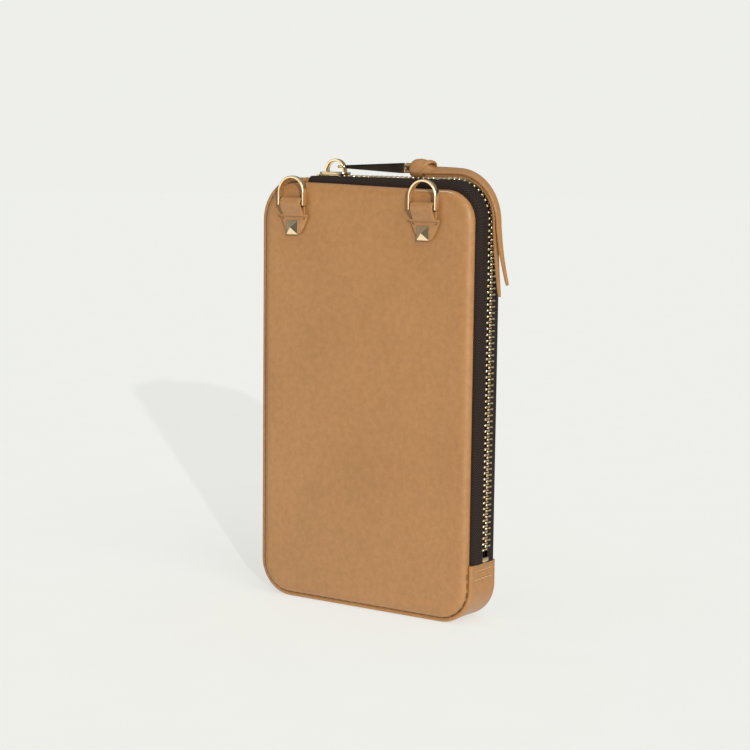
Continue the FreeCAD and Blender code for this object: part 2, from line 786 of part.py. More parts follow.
def pull_tail(label, layers_up, splay):
    """One leather tail from the knot, round the corner and down the zip side, narrowing to its tip."""
    leather = size("pull_leather")
    chain_top = size("tape_bulge") - size("tape_thick") / 2 + size("tooth_height") / 2
    low = chain_top + size("tail_lift") + layers_up * (leather + 0.1)
    start = value(f"{KNOT_LEFT} + knot_length")
    sections = []
    count = 22
    for i in range(count + 1):
        share = i / count
        away = low + splay * max(0.0, share - 0.7) ** 2 / 0.09
        x, z, degrees = along_edge(start + share * size("tail_length"), away)
        half = size("tail_width") / 2 + (size("tail_tip") - size("tail_width")) / 2 * share**2
        corners = [Vector(0, -half, 0), Vector(leather, -half, 0)]
        corners += [Vector(leather, half, 0), Vector(0, half, 0)]
        wire = Part.makePolygon(corners + corners[:1])
        wire.Placement = stand_at(x, z, degrees)
        sections.append(wire)
    free_shape(label, Part.makeLoft(sections, True, True))


# ---------------------------------------------------------------------------------------------------
# Strap rings, their tabs and their studs
# ---------------------------------------------------------------------------------------------------
def strap_ring(name, x):
    """An arched flat-band ring with a round bar across its foot."""
    radius = "(ring_width / 2)"
    arch_height = f"({RING_HEIGHT} - bar_radius + ring_tall - ring_width / 2)"
    start_y = f"-{BAR_FRONT} - ring_depth / 2"
    leg = f"({arch_height} - {RING_HEIGHT})"
    outer_round = cylinder(f"{name}_outer_round", radius, "ring_depth", x, start_y, arch_height, "y")
    legs_left = f"{x} - {radius}"
    outer_legs = box(f"{name}_outer_legs", "ring_width", "ring_depth", leg, legs_left, start_y, RING_HEIGHT)
    outer = combine("Fuse", f"{name}_outer", outer_round, outer_legs)
    hole = f"{radius} - ring_band"
    inner_round = cylinder(f"{name}_inner_round", hole, "ring_depth", x, start_y, arch_height, "y")
    inner_legs = box(
        f"{name}_inner_legs",
        "ring_width - 2 * ring_band",
        "ring_depth",
        leg,
        f"{x} - {radius} + ring_band",
        start_y,
        RING_HEIGHT,
    )
    inner = combine("Fuse", f"{name}_inner", inner_round, inner_legs)
    loop = combine("Cut", f"{name}_loop", outer, inner)
    above = box(f"{name}_above", "ring_width", "ring_depth", "ring_tall", legs_left, start_y, RING_HEIGHT)
    arch = combine("Common", f"{name}_arch", loop, above)
    bar = cylinder(f"{name}_bar", "bar_radius", "ring_width", legs_left, f"-{BAR_FRONT}", RING_HEIGHT, "x")
    keep(combine("Fuse", f"{name}_shape", arch, bar), name)


def ring_tab(label, middle):
    """A leather tab folded over the ring's bar, and below its crease a sewn flap that narrows to the
    stud."""
    leather = size("tab_leather")
    face = -value(FRONT_FACE)
    hole = size("bar_radius") + size("bar_play")
    fold = hole + leather
    top = value(RING_HEIGHT)
    centre_y = -value(BAR_FRONT)
    straight = top - size("tab_straight")
    crease = top - size("tab_crease")
    end = value(PANEL_TOP) - size("tab_drop")

    def point(y, z):
        return Vector(0, y, z)

    def over(radius):
        back = point(centre_y + radius, top)
        return Part.Arc(back, point(centre_y, top + radius), point(centre_y - radius, top))

    outside = [Part.makeLine(point(face, end), point(face, top)), over(fold).toShape()]
    down = [point(centre_y - fold, top), point(centre_y - fold, straight), point(face - 2 * leather, crease)]
    down += [point(face - 2 * leather, end), point(face, end)]
    outside += Part.makePolygon(down).Edges
    inside = [Part.makeLine(point(face - leather, crease), point(face - leather, top)), over(hole).toShape()]
    down = [point(centre_y - hole, top), point(centre_y - hole, straight), point(face - leather, crease)]
    inside += Part.makePolygon(down).Edges
    section = Part.Face([Part.Wire(outside), Part.Wire(inside)])
    if not section.isValid():
        section = Part.Face(Part.Wire(outside)).cut(Part.Face(Part.Wire(inside)))
    half = size("tab_width") / 2
    section.translate(Vector(middle - half, 0, 0))
    tab = section.extrude(Vector(2 * half, 0, 0))
    corner = Vector(middle - 2 * half, face - 5 * leather, end)
    below = Part.makeBox(4 * half, 6 * leather, crease - end, corner)
    wide = size("flap_top") / 2
    foot = size("flap_foot") / 2
    corners = [Vector(middle - wide, face, crease), Vector(middle + wide, face, crease)]
    corners += [Vector(middle + foot, face, end), Vector(middle - foot, face, end)]
    flap = Part.Face(Part.makePolygon(corners + corners[:1])).extrude(Vector(0, -2 * leather, 0))
    tab = tab.cut(below).fuse(flap).removeSplitter().Solids[0]
    stem = size("stem_radius") + size("stem_play")
    hole_start = Vector(middle, face + leather, value(STUD_HEIGHT))
    tab = tab.cut(Part.makeCylinder(stem, 4 * leather, hole_start, Vector(0, -1, 0)))
    free_shape(label, tab)


def studs():
    """Both pyramid studs with their stems, and both rivet caps behind the front board."""
    side = size("stud_side") / 2
    outside = value(f"{FRONT_FACE} + 2 * tab_leather")
    inside = size("panel_gap") / 2
    heads = []
    caps = []
    z = value(STUD_HEIGHT)
    for x in map(value, RING_X.values()):
        square = [(-1, -1), (1, -1), (1, 1), (-1, 1)]
        base = [Vector(x + a * side, -outside, z + b * side) for a, b in square]
        apex = Vector(x, -outside - size("stud_rise"), z)
        faces = [Part.Face(Part.makePolygon(base + base[:1]))]
        for i in range(4):
            faces.append(Part.Face(Part.makePolygon([base[i], base[(i + 1) % 4], apex, base[i]])))
        pyramid = Part.Solid(Part.Shell(faces))
        inwards = Vector(0, 1, 0)
        stem = Part.makeCylinder(size("stem_radius"), outside - inside, Vector(x, -outside, z), inwards)
        heads.append(pyramid.fuse(stem).removeSplitter().Solids[0])
        behind = Vector(x, -inside, z)
        caps.append(Part.makeCylinder(size("cap_radius"), size("cap_thick"), behind, inwards))
    free_shape("pyramid_studs", Part.makeCompound(heads))
    free_shape("stud_caps", Part.makeCompound(caps))


# ---------------------------------------------------------------------------------------------------
# Inside: card slots in the front half and a phone pocket in the rear half
# ---------------------------------------------------------------------------------------------------
def card_slots():
    """Stepped card panels lying on the front lining, each shorter than the one behind it."""
    for i in range(CARD_SLOTS):
        near = f"{LINING_FACE} - {i + 1} * card_thick"
        tall = f"panel_height - card_rise - card_headroom - {i} * card_step"
        width = "panel_width - 2 * card_inset"
        base = "gusset_bulge + card_rise"
        body = plate(f"card_slot_{i + 1}", width, base, tall, "card_corner", near, "card_thick")
        keep(body, f"card_slot_{i + 1}")


def phone_pocket():
    """A pocket open at its top, its two sides, foot and front standing off the rear lining."""
    depth = f"(2 * {LINING_FACE} - {CARD_SLOTS} * card_thick - cards_room - binding_thick)"
    front = f"({LINING_FACE} - {depth})"
    left = "(pocket_inset - panel_width / 2)"
    width = "(panel_width - 2 * pocket_inset)"
    base = "(gusset_bulge + pocket_rise)"
    tall = "(panel_height - pocket_rise - pocket_headroom)"
    shell = box("pocket_block", width, depth, tall, left, front, base)
    space = box(
        "pocket_space",
        f"{width} - 2 * pocket_wall",
        f"{depth} - pocket_wall",
        f"{tall} - pocket_wall",
        f"{left} + pocket_wall",
        f"{front} + pocket_wall",
        f"{base} + pocket_wall",
    )
    keep(combine("Cut", "pocket_shape", shell, space), "phone_pocket")
    rim = f"{base} + {tall} - binding_tall"
    ahead = f"{front} - binding_thick"
    strip = box("binding_strip", width, "binding_thick", "binding_tall", left, ahead, rim)
    keep(strip, "pocket_binding")


panels()
zip_pieces()
slider()
bridge()
puller()
pull_loop()
pull_knot()
pull_tail("pull_tail_inner", 0, 0.0)
pull_tail("pull_tail_outer", 1, size("tail_splay"))
for ring_side, ring_x in RING_X.items():
    strap_ring(f"strap_ring_{ring_side}", ring_x)
    ring_tab(f"ring_tab_{ring_side}", value(ring_x))
studs()
card_slots()
phone_pocket()
doc.recompute()

# ---------------------------------------------------------------------------------------------------
# Check every object, then write one STEP file for each sub-part
# ---------------------------------------------------------------------------------------------------
for thing in doc.Objects:
    bad = [state for state in thing.State if state in ("Invalid", "Error")]
    if bad:
        raise ValueError(f"{thing.Label} is {bad}")
for thing in nodes:
    if thing.Shape.isNull() or not thing.Shape.isValid() or not thing.Shape.Solids:
        raise ValueError(f"{thing.Label} has no valid solid")

os.makedirs("parts", exist_ok=True)
for thing in nodes:
    thing.Shape.exportStep(f"parts/{thing.Label}.step")
    limits = thing.Shape.BoundBox
    print(
        f"{thing.Label}: {len(thing.Shape.Solids)} solids, {thing.Shape.Volume:.1f} mm3, "
        f"x {limits.XMin:.1f}..{limits.XMax:.1f} y {limits.YMin:.1f}..{limits.YMax:.1f} "
        f"z {limits.ZMin:.1f}..{limits.ZMax:.1f}"
    )
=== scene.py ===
# %% [markdown]
# A zip-around phone wallet. Two padded leather panels are joined by a leather gusset on the spine and
# the foot, and by a metal zip along the top and the side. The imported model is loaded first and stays
# fixed: every size below is read from it, and each new surface stands for one or more of its solids.
# %% Load the frame
import math
import bpy
import bmesh
import numpy as np
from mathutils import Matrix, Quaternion, Vector


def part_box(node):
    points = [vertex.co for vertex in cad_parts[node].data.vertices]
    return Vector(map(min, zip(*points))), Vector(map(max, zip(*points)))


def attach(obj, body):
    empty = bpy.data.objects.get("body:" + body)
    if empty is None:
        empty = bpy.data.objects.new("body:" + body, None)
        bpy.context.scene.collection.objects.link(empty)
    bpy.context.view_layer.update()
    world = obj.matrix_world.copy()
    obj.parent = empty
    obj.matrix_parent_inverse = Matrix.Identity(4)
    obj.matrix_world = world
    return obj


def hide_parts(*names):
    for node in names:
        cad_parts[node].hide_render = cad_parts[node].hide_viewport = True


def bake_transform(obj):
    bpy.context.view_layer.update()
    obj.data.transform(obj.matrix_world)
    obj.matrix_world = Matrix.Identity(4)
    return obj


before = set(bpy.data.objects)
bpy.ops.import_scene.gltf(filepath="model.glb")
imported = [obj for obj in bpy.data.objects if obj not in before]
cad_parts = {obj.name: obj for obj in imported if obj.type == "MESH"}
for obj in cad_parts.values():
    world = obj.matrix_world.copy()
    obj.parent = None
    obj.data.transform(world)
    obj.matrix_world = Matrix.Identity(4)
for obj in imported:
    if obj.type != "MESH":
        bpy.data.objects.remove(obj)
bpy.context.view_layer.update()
MM = 0.001


# %% [markdown]
# Each solid's box gives the places that the surfaces start from. They are kept in millimetres, because
# leather, thread and zip teeth are easier to think about that way, and turned into metres at the end.
# %% Sizes read from the frame
def limits(node):
    """Lowest and highest corner of a solid, in millimetres."""
    low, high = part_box(node)
    return np.array(low) / MM, np.array(high) / MM


front_low, front_high = limits("front_cover")
rear_high = limits("rear_cover")[1]
gusset_low = limits("gusset")[0]
tape_low, tape_high = limits("zip_tape_front")
HALF = front_high[0]
LOW = front_low[2]
HIGH = front_high[2]
CORNER = 14.0
SPINE = 17.5
SEAM = -front_high[1]
FRONT = -front_low[1]
REAR = rear_high[1]
OUT = LOW - gusset_low[2]
TAPE_OUT = tape_high[2] - HIGH
print(f"panel {2 * HALF:.1f} x {HIGH - LOW:.1f} mm, faces at {-FRONT:.1f} and {REAR:.1f} mm")


# %% [markdown]
# The camera stands in front and a little to the zip side, almost level with the wallet and far enough
# away for its upright edges to stay nearly parallel.
# %% Camera
VIEW_TURN = 34.0
VIEW_RISE = 7.7
VIEW_DISTANCE = 0.866
VIEW_TARGET = (0, 0, 0.095)
VIEW_ROLL = 0.0117


def look_from(azimuth, elevation, distance, target):
    """Place on a sphere about the target: turned by azimuth from the front, raised by elevation."""
    a = math.radians(azimuth)
    e = math.radians(elevation)
    back = Vector((math.sin(a) * math.cos(e), -math.cos(a) * math.cos(e), math.sin(e)))
    return Vector(target) + back * distance, back.to_track_quat("Z", "Y")


camera_data = bpy.data.cameras.new("camera")
camera = bpy.data.objects.new("camera", camera_data)
bpy.context.scene.collection.objects.link(camera)
camera.location, turn = look_from(VIEW_TURN, VIEW_RISE, VIEW_DISTANCE, VIEW_TARGET)
camera.rotation_euler = (turn @ Quaternion((0, 0, 1), VIEW_ROLL)).to_euler()
camera_data.lens = 93.3
camera_data.shift_x = -0.0032
camera_data.shift_y = 0.0276
camera_data.clip_start = 0.01
camera_data.clip_end = 20
bpy.context.scene.camera = camera
print("camera at", tuple(round(c, 3) for c in camera.location))


# %% [markdown]
# All the new pieces are grids of points. One function turns a grid into a mesh: neighbouring points
# become four-sided faces, points that fall on each other are merged, and the faces are turned outwards.
# Grids made for the same piece are gathered first, so that a piece can have several shells.
# %% Grids and meshes
def quads(rows, columns):
    """Corner numbers of the faces of a grid: each point with its right, diagonal and lower neighbour."""
    index = np.arange(rows * columns).reshape(rows, columns)
    corners = [index[:-1, :-1], index[:-1, 1:], index[1:, 1:], index[1:, :-1]]
    return np.stack(corners, axis=-1).reshape(-1, 4)


def surface(grid, uv=None, ends=False):
    """One grid as points, faces and a flat map; ends closes its first and last row."""
    rows, columns = grid.shape[:2]
    faces = quads(rows, columns).tolist()
    if ends:
        faces.append(list(range(columns - 1)))
        faces.append(list(range((rows - 1) * columns, rows * columns - 1)))
    if uv is None:
        uv = grid[..., [0, 2]]
    return grid.reshape(-1, 3), faces, uv.reshape(-1, 2)


def squared(values, power):
    """A cosine or sine raised to a power with its sign kept: below 1 it squares a circle's corners."""
    return np.sign(values) * np.abs(values) ** power


def repeated(part, origins, axes):
    """Copies of a small part: each point is an origin plus the part's point along that copy's axes."""
    points, faces, uv = part
    placed = origins[:, None, :] + np.einsum("pk,nkj->npj", points, axes)
    count = len(points)
    shifts = np.arange(len(origins)) * count
    copies = [[[corner + shift for corner in face] for face in faces] for shift in shifts]
    return placed.reshape(-1, 3), sum(copies, []), np.tile(uv, (len(origins), 1))


def piece(name, parts, merge=0.002, sharp=35.0):
    """A mesh object from a list of parts in millimetres, merged, with faces outwards and shaded smooth."""
    starts = np.cumsum([0] + [len(part[0]) for part in parts])
    points = np.concatenate([part[0] for part in parts]) * MM
    shifted = zip(parts, starts.tolist())
    faces = [[corner + start for corner in face] for part, start in shifted for face in part[1]]
    data = bpy.data.meshes.new(name)
    data.from_pydata(points.tolist(), [], faces)
    uv = np.concatenate([part[2] for part in parts]) * MM
    corners = np.zeros(len(data.loops), int)
    data.loops.foreach_get("vertex_index", corners)
    data.uv_layers.new(name="flat").data.foreach_set("uv", uv[corners].astype(np.float32).ravel())
    work = bmesh.new()
    work.from_mesh(data)
    bmesh.ops.remove_doubles(work, verts=work.verts, dist=merge * MM)
    bmesh.ops.dissolve_degenerate(work, edges=work.edges, dist=1e-7)
    bmesh.ops.recalc_face_normals(work, faces=work.faces)
    work.to_mesh(data)
    work.free()
    data.shade_smooth()
    data.set_sharp_from_angle(angle=math.radians(sharp))
    made = bpy.data.objects.new(name, data)
    bpy.context.scene.collection.objects.link(made)
    print(f"{name}: {len(data.vertices)} points, {len(data.polygons)} faces")
    return made


# %% [markdown]
# The panel's edge is one closed line, a rectangle with round corners. The gusset, both zip tapes, the
# teeth and the seams all follow it, so it is worked out once: for a distance along the line it gives
# the place and the direction that points out of the wallet.
# %% The edge line
def edge_line(distance, half=HALF, low=LOW, high=HIGH, corner=CORNER, spine=None):
    """Rounded rectangle, clockwise from the middle of its top. A straight run keeps its direction and a
    corner turns it by distance over radius. The last corner, on the spine, has a radius of its own."""
    spine = corner if spine is None else spine
    wide = 2 * (half - corner)
    tall = high - low - 2 * corner
    arc = corner * math.pi / 2
    left = high - low - corner - spine
    runs = np.array([wide / 2, arc, tall, arc, wide, arc, left, spine * math.pi / 2, half - spine])
    starts = np.concatenate([[0.0], np.cumsum(runs)])
    along = np.mod(distance, starts[-1])
    k = np.clip(np.searchsorted(starts, along, side="right") - 1, 0, 8)
    radius = np.where(k >= 7, spine, corner)
    inner = half - corner
    centre_x = np.array([0, inner, inner, inner, inner, -inner, -inner, spine - half, spine - half])[k]
    centre_z = np.array([high, high, high, low, low, low, low, high, high])[k]
    centre_z = centre_z + np.array([-1, -1, -1, 1, 1, 1, 1, -1, -1])[k] * radius
    facing = np.radians(np.array([90, 90, 0, 0, -90, -90, -180, -180, -270]))[k]
    gone = along - starts[k]
    turning = np.isin(k, [1, 3, 5, 7])
    facing = facing - np.where(turning, gone / np.maximum(radius, 1e-9), 0.0)
    straight = np.where(turning, 0.0, gone)
    x = centre_x + radius * np.cos(facing) + straight * np.sin(facing)
    z = centre_z + radius * np.sin(facing) - straight * np.cos(facing)
    return x, z, facing, starts[-1]


def carried(profile, distance, **shape):
    """A profile of (outwards, depth) pairs carried along the edge line as a grid, with its own flat map:
    distance along the line, and length across the profile."""
    x, z, facing, _ = edge_line(distance, **(shape or {"spine": SPINE}))
    profile = np.broadcast_to(profile, (len(distance),) + np.shape(profile)[-2:])
    grid = np.empty(profile.shape[:2] + (3,))
    grid[..., 0] = x[:, None] + np.cos(facing)[:, None] * profile[..., 0]
    grid[..., 1] = profile[..., 1]
    grid[..., 2] = z[:, None] + np.sin(facing)[:, None] * profile[..., 0]
    steps = np.linalg.norm(np.diff(profile, axis=1), axis=-1)
    across = np.concatenate([np.zeros((len(distance), 1)), np.cumsum(steps, axis=1)], axis=1)
    return grid, np.stack([np.broadcast_to(distance[:, None], across.shape), across], axis=-1)


TOP_RUN = HALF - CORNER
QUARTER = CORNER * math.pi / 2
TOTAL = edge_line(np.array([0.0]), spine=SPINE)[3]
ZIP_START = tape_low[0]
ZIP_END = TOP_RUN + QUARTER + HIGH - CORNER - tape_low[2]
print(f"edge line {TOTAL:.1f} mm, zip from {ZIP_START:.1f} to {ZIP_END:.1f} mm")


# %% [markdown]
# A padded panel is leather over foam and board. Its face is nearly flat in the middle, crowned a
# little by the foam, and rolls over at the edge. The surface is made of closed rings: those near the
# edge follow a quarter ellipse, and those further in shrink towards a short line in the middle, which
# keeps the faces even and gives no hard folds at the corners.
# %% Padded plates
def padded_plate(half, low, high, corner, inner, outer, roll, crown=0.0, spacing=2.0, dips=(), spine=None):
    """Rings from the back's middle, over the edge, to the face's middle. In the roll a ring moves in by
    roll * (1 - cos) and rises by sin. The crown is the product of two parabolas, and each dip is a bell
    curve (x, z, depth, width) that sinks the face where a rivet pulls it in."""
    total = edge_line(np.array([0.0]), half, low, high, corner, spine)[3]
    count = 2 * int(round(total / spacing / 2))
    x, z, facing, _ = edge_line(np.arange(count + 1) * total / count, half, low, high, corner, spine)
    thick = abs(outer - inner)
    side = np.sign(outer - inner)
    bend = min(roll, 0.8 * thick)
    turn = np.radians(np.linspace(0, 90, 9))
    back = min(0.3, 0.2 * thick)
    insets = np.concatenate([[2 * back, back, 0.3 * back, 0.0], roll * (1 - np.cos(turn))])
    heights = np.concatenate([[0.0, 0.0, 0.4 * back, back], thick - bend + bend * np.sin(turn)])
    middle = (low + high) / 2
    spread_x = max(0.0, half - (high - low) / 2)
    spread_z = max(0.0, (high - low) / 2 - half)
    mirror_x = np.clip(x, -spread_x, spread_x)
    mirror_z = np.clip(z, middle - spread_z, middle + spread_z)
    core_x = (mirror_x - mirror_x[::-1]) / 2
    core_z = (mirror_z + mirror_z[::-1]) / 2
    ring_x = x - np.cos(facing) * insets[:, None]
    ring_z = z - np.sin(facing) * insets[:, None]
    steps = max(3, int(min(half, (high - low) / 2) / spacing))
    share = np.linspace(0, 1, steps + 1)[1:, None]
    face_x = ring_x[-1] + (core_x - ring_x[-1]) * share
    face_z = ring_z[-1] + (core_z - ring_z[-1]) * share
    back_x = ring_x[0] + (core_x - ring_x[0]) * share[::-1]
    back_z = ring_z[0] + (core_z - ring_z[0]) * share[::-1]
    all_x = np.concatenate([back_x, ring_x, face_x])
    all_z = np.concatenate([back_z, ring_z, face_z])
    levels = np.concatenate([np.zeros(steps), heights, np.full(steps, thick)])
    height = np.repeat(levels[:, None], count + 1, axis=1)
    across = np.clip(1 - (all_x / half) ** 2, 0, 1)
    upward = np.clip(1 - ((all_z - middle) / (high - middle)) ** 2, 0, 1)
    pillow = across * upward
    on_face = height > 0.7 * thick
    height = height + np.where(on_face, crown * pillow, 0.0)
    for dip_x, dip_z, depth, width in dips:
        near = ((all_x - dip_x) ** 2 + (all_z - dip_z) ** 2) / (2 * width**2)
        height = height - np.where(on_face, depth * np.exp(-near), 0.0)
    grid = np.stack([all_x, inner + side * height, all_z], axis=-1)
    return surface(grid)


CLOTH_STEPS = 20
HELD_MARGIN = 0.006
HELD_FADE = 0.02


def puff(made, face_y, cap, pressure=4.0):
    """Cloth inflated from inside: points within the margin of the edge and on the back are held, the
    hold fades over a band inside it, the face lifts under pressure, and no point moves further than
    the cap."""
    scene = bpy.context.scene
    rest = np.zeros(len(made.data.vertices) * 3)
    made.data.vertices.foreach_get("co", rest)
    rest = rest.reshape(-1, 3)
    from_ends = np.minimum(rest[:, 2] - LOW * MM, HIGH * MM - rest[:, 2])
    inset = np.minimum(HALF * MM - np.abs(rest[:, 0]), from_ends)
    on_face = np.abs(rest[:, 1]) > abs(face_y) * MM * 0.93
    loose = np.clip((inset - HELD_MARGIN) / HELD_FADE, 0, 1) * on_face
    held = made.vertex_groups.new(name="held")
    for level in np.linspace(0, 1, 11):
        chosen = np.flatnonzero(np.abs(np.round((1 - loose) * 10) / 10 - level) < 0.01)
        held.add(chosen.tolist(), float(level), "REPLACE")
    cloth = made.modifiers.new("cloth", "CLOTH")
    settings = cloth.settings
    settings.quality = 5
    settings.mass = 0.2
    settings.tension_stiffness = 15
    settings.compression_stiffness = 15
    settings.bending_stiffness = 5
    settings.use_pressure = True
    settings.uniform_pressure_force = pressure
    settings.effector_weights.gravity = 0
    settings.vertex_group_mass = "held"
    for step in range(1, CLOTH_STEPS + 1):
        scene.frame_set(step)
    shaped = made.evaluated_get(bpy.context.evaluated_depsgraph_get()).data
    moved = np.zeros(len(shaped.vertices) * 3)
    shaped.vertices.foreach_get("co", moved)
    shift = moved.reshape(-1, 3) - rest
    length = np.linalg.norm(shift, axis=1, keepdims=True)
    shift = shift * np.minimum(1, cap * MM / np.maximum(length, 1e-9))
    made.modifiers.remove(cloth)
    made.vertex_groups.remove(held)
    scene.frame_set(1)
    made.data.vertices.foreach_set("co", (rest + shift).ravel())
    made.data.update()
    print(f"{made.name}: the foam lifts the leather by up to {np.abs(shift[:, 1]).max() / MM:.2f} mm")
    return made


# %% [markdown]
# The front panel's upper edge sinks a little towards the zip corner, by a smooth step across the panel
# that fades out below the top. The face also dips under each tab, where the rivet pulls it in.
# %% Front and rear panel
EDGE_SINK = 1.5
SINK_REACH = 45
stud_low, stud_high = limits("pyramid_studs")
stud_half = (stud_high[2] - stud_low[2]) / 2
tab_boxes = {side: limits(f"ring_tab_{side}") for side in ("left", "right")}
RING_X = {side: float((low[0] + high[0]) / 2) for side, (low, high) in tab_boxes.items()}
STUD_Z = float((stud_low[2] + stud_high[2]) / 2)
dips = [(x, STUD_Z - 4, 0.35, 5.5) for x in RING_X.values()]
outline = (HALF, LOW, HIGH, CORNER)
front_plate = padded_plate(*outline, -SEAM, -FRONT, 4.2, 0.25, 1.8, dips, SPINE)
front_points, front_faces, front_uv = front_plate
towards_zip = np.clip((front_points[:, 0] + HALF - 12) / (1.5 * HALF), 0, 1)
near_top = np.clip((front_points[:, 2] - HIGH + SINK_REACH) / SINK_REACH, 0, 1)
front_points[:, 2] -= EDGE_SINK * (3 * towards_zip**2 - 2 * towards_zip**3) * near_top**2
front_panel = piece("front_panel", [(front_points, front_faces, front_uv)])
rear_plate = padded_plate(*outline, SEAM, REAR, 3.6, 0.2, 1.8, (), SPINE)
rear_panel = piece("rear_panel", [rear_plate])
puff(front_panel, FRONT, 0.45)
puff(rear_panel, REAR, 0.35)


# %% [markdown]
# The gusset is one strip of the same leather. At each side it turns up into a small round ridge beside
# the panel, and between the ridges it is a plain flat back that the wallet stands on. Carrying that one
# profile along the edge line gives the whole strip, corners included.
# %% Gusset
def arc(centre, radius, start, end, count=6):
    """Points of a circle's arc between two directions in degrees."""
    angle = np.radians(np.linspace(start, end, count))
    return np.stack([centre[0] + radius * np.cos(angle), centre[1] + radius * np.sin(angle)], axis=1)


ridge = -gusset_low[1]
bead = 0.95
inner_bead = arc((bead, bead - ridge), bead, 180, 270)
outer_bead = arc((OUT - bead, bead - ridge), bead, 270, 360)
tucked = [[-3.0, -SEAM + 0.05], [-0.02, -SEAM + 0.05]]
flat_side = [[OUT - 0.12, -5.5], [OUT - 0.2, -2.5]]
half_profile = np.concatenate([tucked, inner_bead, outer_bead, flat_side])
mirrored = half_profile[::-1] * [1, -1]
inside_half = np.array([[-3.0, SEAM - 1.1], [0.2, SEAM - 1.1], [OUT - 1.3, SEAM - 2.4]])
inside = np.concatenate([inside_half, inside_half[::-1] * [1, -1]])
gusset_profile = np.concatenate([half_profile, mirrored, inside, half_profile[:1]])
gusset_run = np.linspace(ZIP_END + 0.2, TOTAL + ZIP_START - 0.2, 240)
gusset_grid, gusset_uv = carried(gusset_profile, gusset_run)
gusset_leather = piece("gusset_leather", [surface(gusset_grid, gusset_uv, ends=True)], sharp=50)


# %% [markdown]
# Each zip tape is woven, dark and thin. It comes out from under the panel, bends over and ends in the
# teeth's grip. The same carrying function makes it, and its flat map runs in millimetres along and
# across the tape, which is what a weave needs.
# %% Zip tapes
def tape_profile(side):
    """Outer line under the panel, a quarter turn, the flat part, then back along the inside."""
    thick = 0.6
    bend = TAPE_OUT
    centre = (0.0, side * (SEAM - bend))
    free = side * -tape_high[1]
    edge = free + side * 0.15
    outer_turn = arc(centre, bend, side * 90, 0, 10)
    inner_turn = arc(centre, bend - thick, 0, side * 90, 10)
    outer_flat = [[bend, (centre[1] + free) / 2], [bend, edge]]
    inner_flat = [[bend - thick / 2, free], [bend - thick, edge]]
    outer = np.concatenate([[[-4.0, side * SEAM]], outer_turn, outer_flat])
    inner = np.concatenate([inner_flat, inner_turn, [[-4.0, side * (SEAM - thick)]]])
    return np.concatenate([outer, inner, outer[:1]])


def tape(name, side):
    """One tape from the zip's start to its end."""
    grid, uv = carried(tape_profile(side), np.linspace(ZIP_START, ZIP_END, 150))
    return piece(name, [surface(grid, uv, ends=True)])


tape_front = tape("tape_front", -1)
tape_rear = tape("tape_rear", 1)


# %% [markdown]
# A zip tooth is a small cast claw: a foot that bites the tape's edge, a narrow neck, and a wide head
# that locks between its neighbours. It is a rounded bar whose width and height change along its
# length. There are nearly two hundred of them, so each has only a few dozen faces.
# %% Bars with a changing section
def bar(stations, corner=0.35, around=8):
    """A bar along its first axis. Each station is (place, half width, half height, shift up); its
    section is a rectangle with cut or round corners, written as a superellipse."""
    stations = np.asarray(stations, float)
    angle = np.linspace(0, 2 * math.pi, around + 1) + math.pi / around
    c = squared(np.cos(angle), corner)
    s = squared(np.sin(angle), corner)
    grid = np.empty((len(stations), around + 1, 3))
    grid[..., 0] = stations[:, :1]
    grid[..., 1] = stations[:, 1:2] * c
    grid[..., 2] = stations[:, 2:3] * s + stations[:, 3:4]
    uv = np.stack([grid[..., 0], np.broadcast_to(angle, grid.shape[:2])], axis=-1)
    return surface(grid, uv, ends=True)


def frames_on_edge(distance, offset, depth):
    """Origins outside the edge line, with axes (depth, along the line, outwards) for each."""
    x, z, facing, _ = edge_line(distance, spine=SPINE)
    c, s = np.cos(facing), np.sin(facing)
    zero = np.zeros_like(c)
    origins = np.stack([x + c * offset, zero + depth, z + s * offset], axis=1)
    depth_way = np.stack([zero, zero + 1, zero], 1)
    along_way = np.stack([s, zero, -c], 1)
    out_way = np.stack([c, zero, s], 1)
    axes = np.stack([depth_way, along_way, out_way], axis=1)
    return origins, axes


# %% Teeth
teeth_low, teeth_high = limits("zip_teeth_front")
PITCH = 2.6
TOOTH_HALF = 0.9
CHAIN = (limits("zip_teeth_rear")[1][2] - HIGH) - TOOTH_HALF
foot = -teeth_low[1]
head = teeth_high[1]
tooth_foot = [(-foot, 0.30, 0.55, 0), (-foot + 0.3, 0.52, 0.92, 0), (-foot + 1.1, 0.52, 0.92, 0)]
tooth_neck = [(-foot + 1.6, 0.32, 0.62, 0), (-0.4, 0.45, 0.75, 0)]
tooth_head = [(head - 0.35, 0.56, 0.85, 0), (head, 0.34, 0.5, 0)]
tooth_shape = tooth_foot + tooth_neck + tooth_head


def chain_distance(count, offset):
    """Distances on the edge line of teeth evenly spaced on the chain's own line, whose corner is wider."""
    place = teeth_low[0] + 0.575 + np.arange(count) * PITCH + offset
    wider = (CORNER + CHAIN) * math.pi / 2
    turned = TOP_RUN + (place - TOP_RUN) * QUARTER / wider
    beyond = np.where(place < TOP_RUN + wider, turned, place - wider + QUARTER)
    return np.where(place < TOP_RUN, place, beyond)


def tooth_row(name, side, count, offset):
    """One row of teeth."""
    origins, axes = frames_on_edge(chain_distance(count, offset), CHAIN, 0.0)
    axes[:, 0] *= -side
    return piece(name, [repeated(bar(tooth_shape), origins, axes)], merge=0.0005, sharp=50)


teeth_front = tooth_row("teeth_front", -1, 91, 0.0)
teeth_rear = tooth_row("teeth_rear", 1, 90, PITCH / 2)


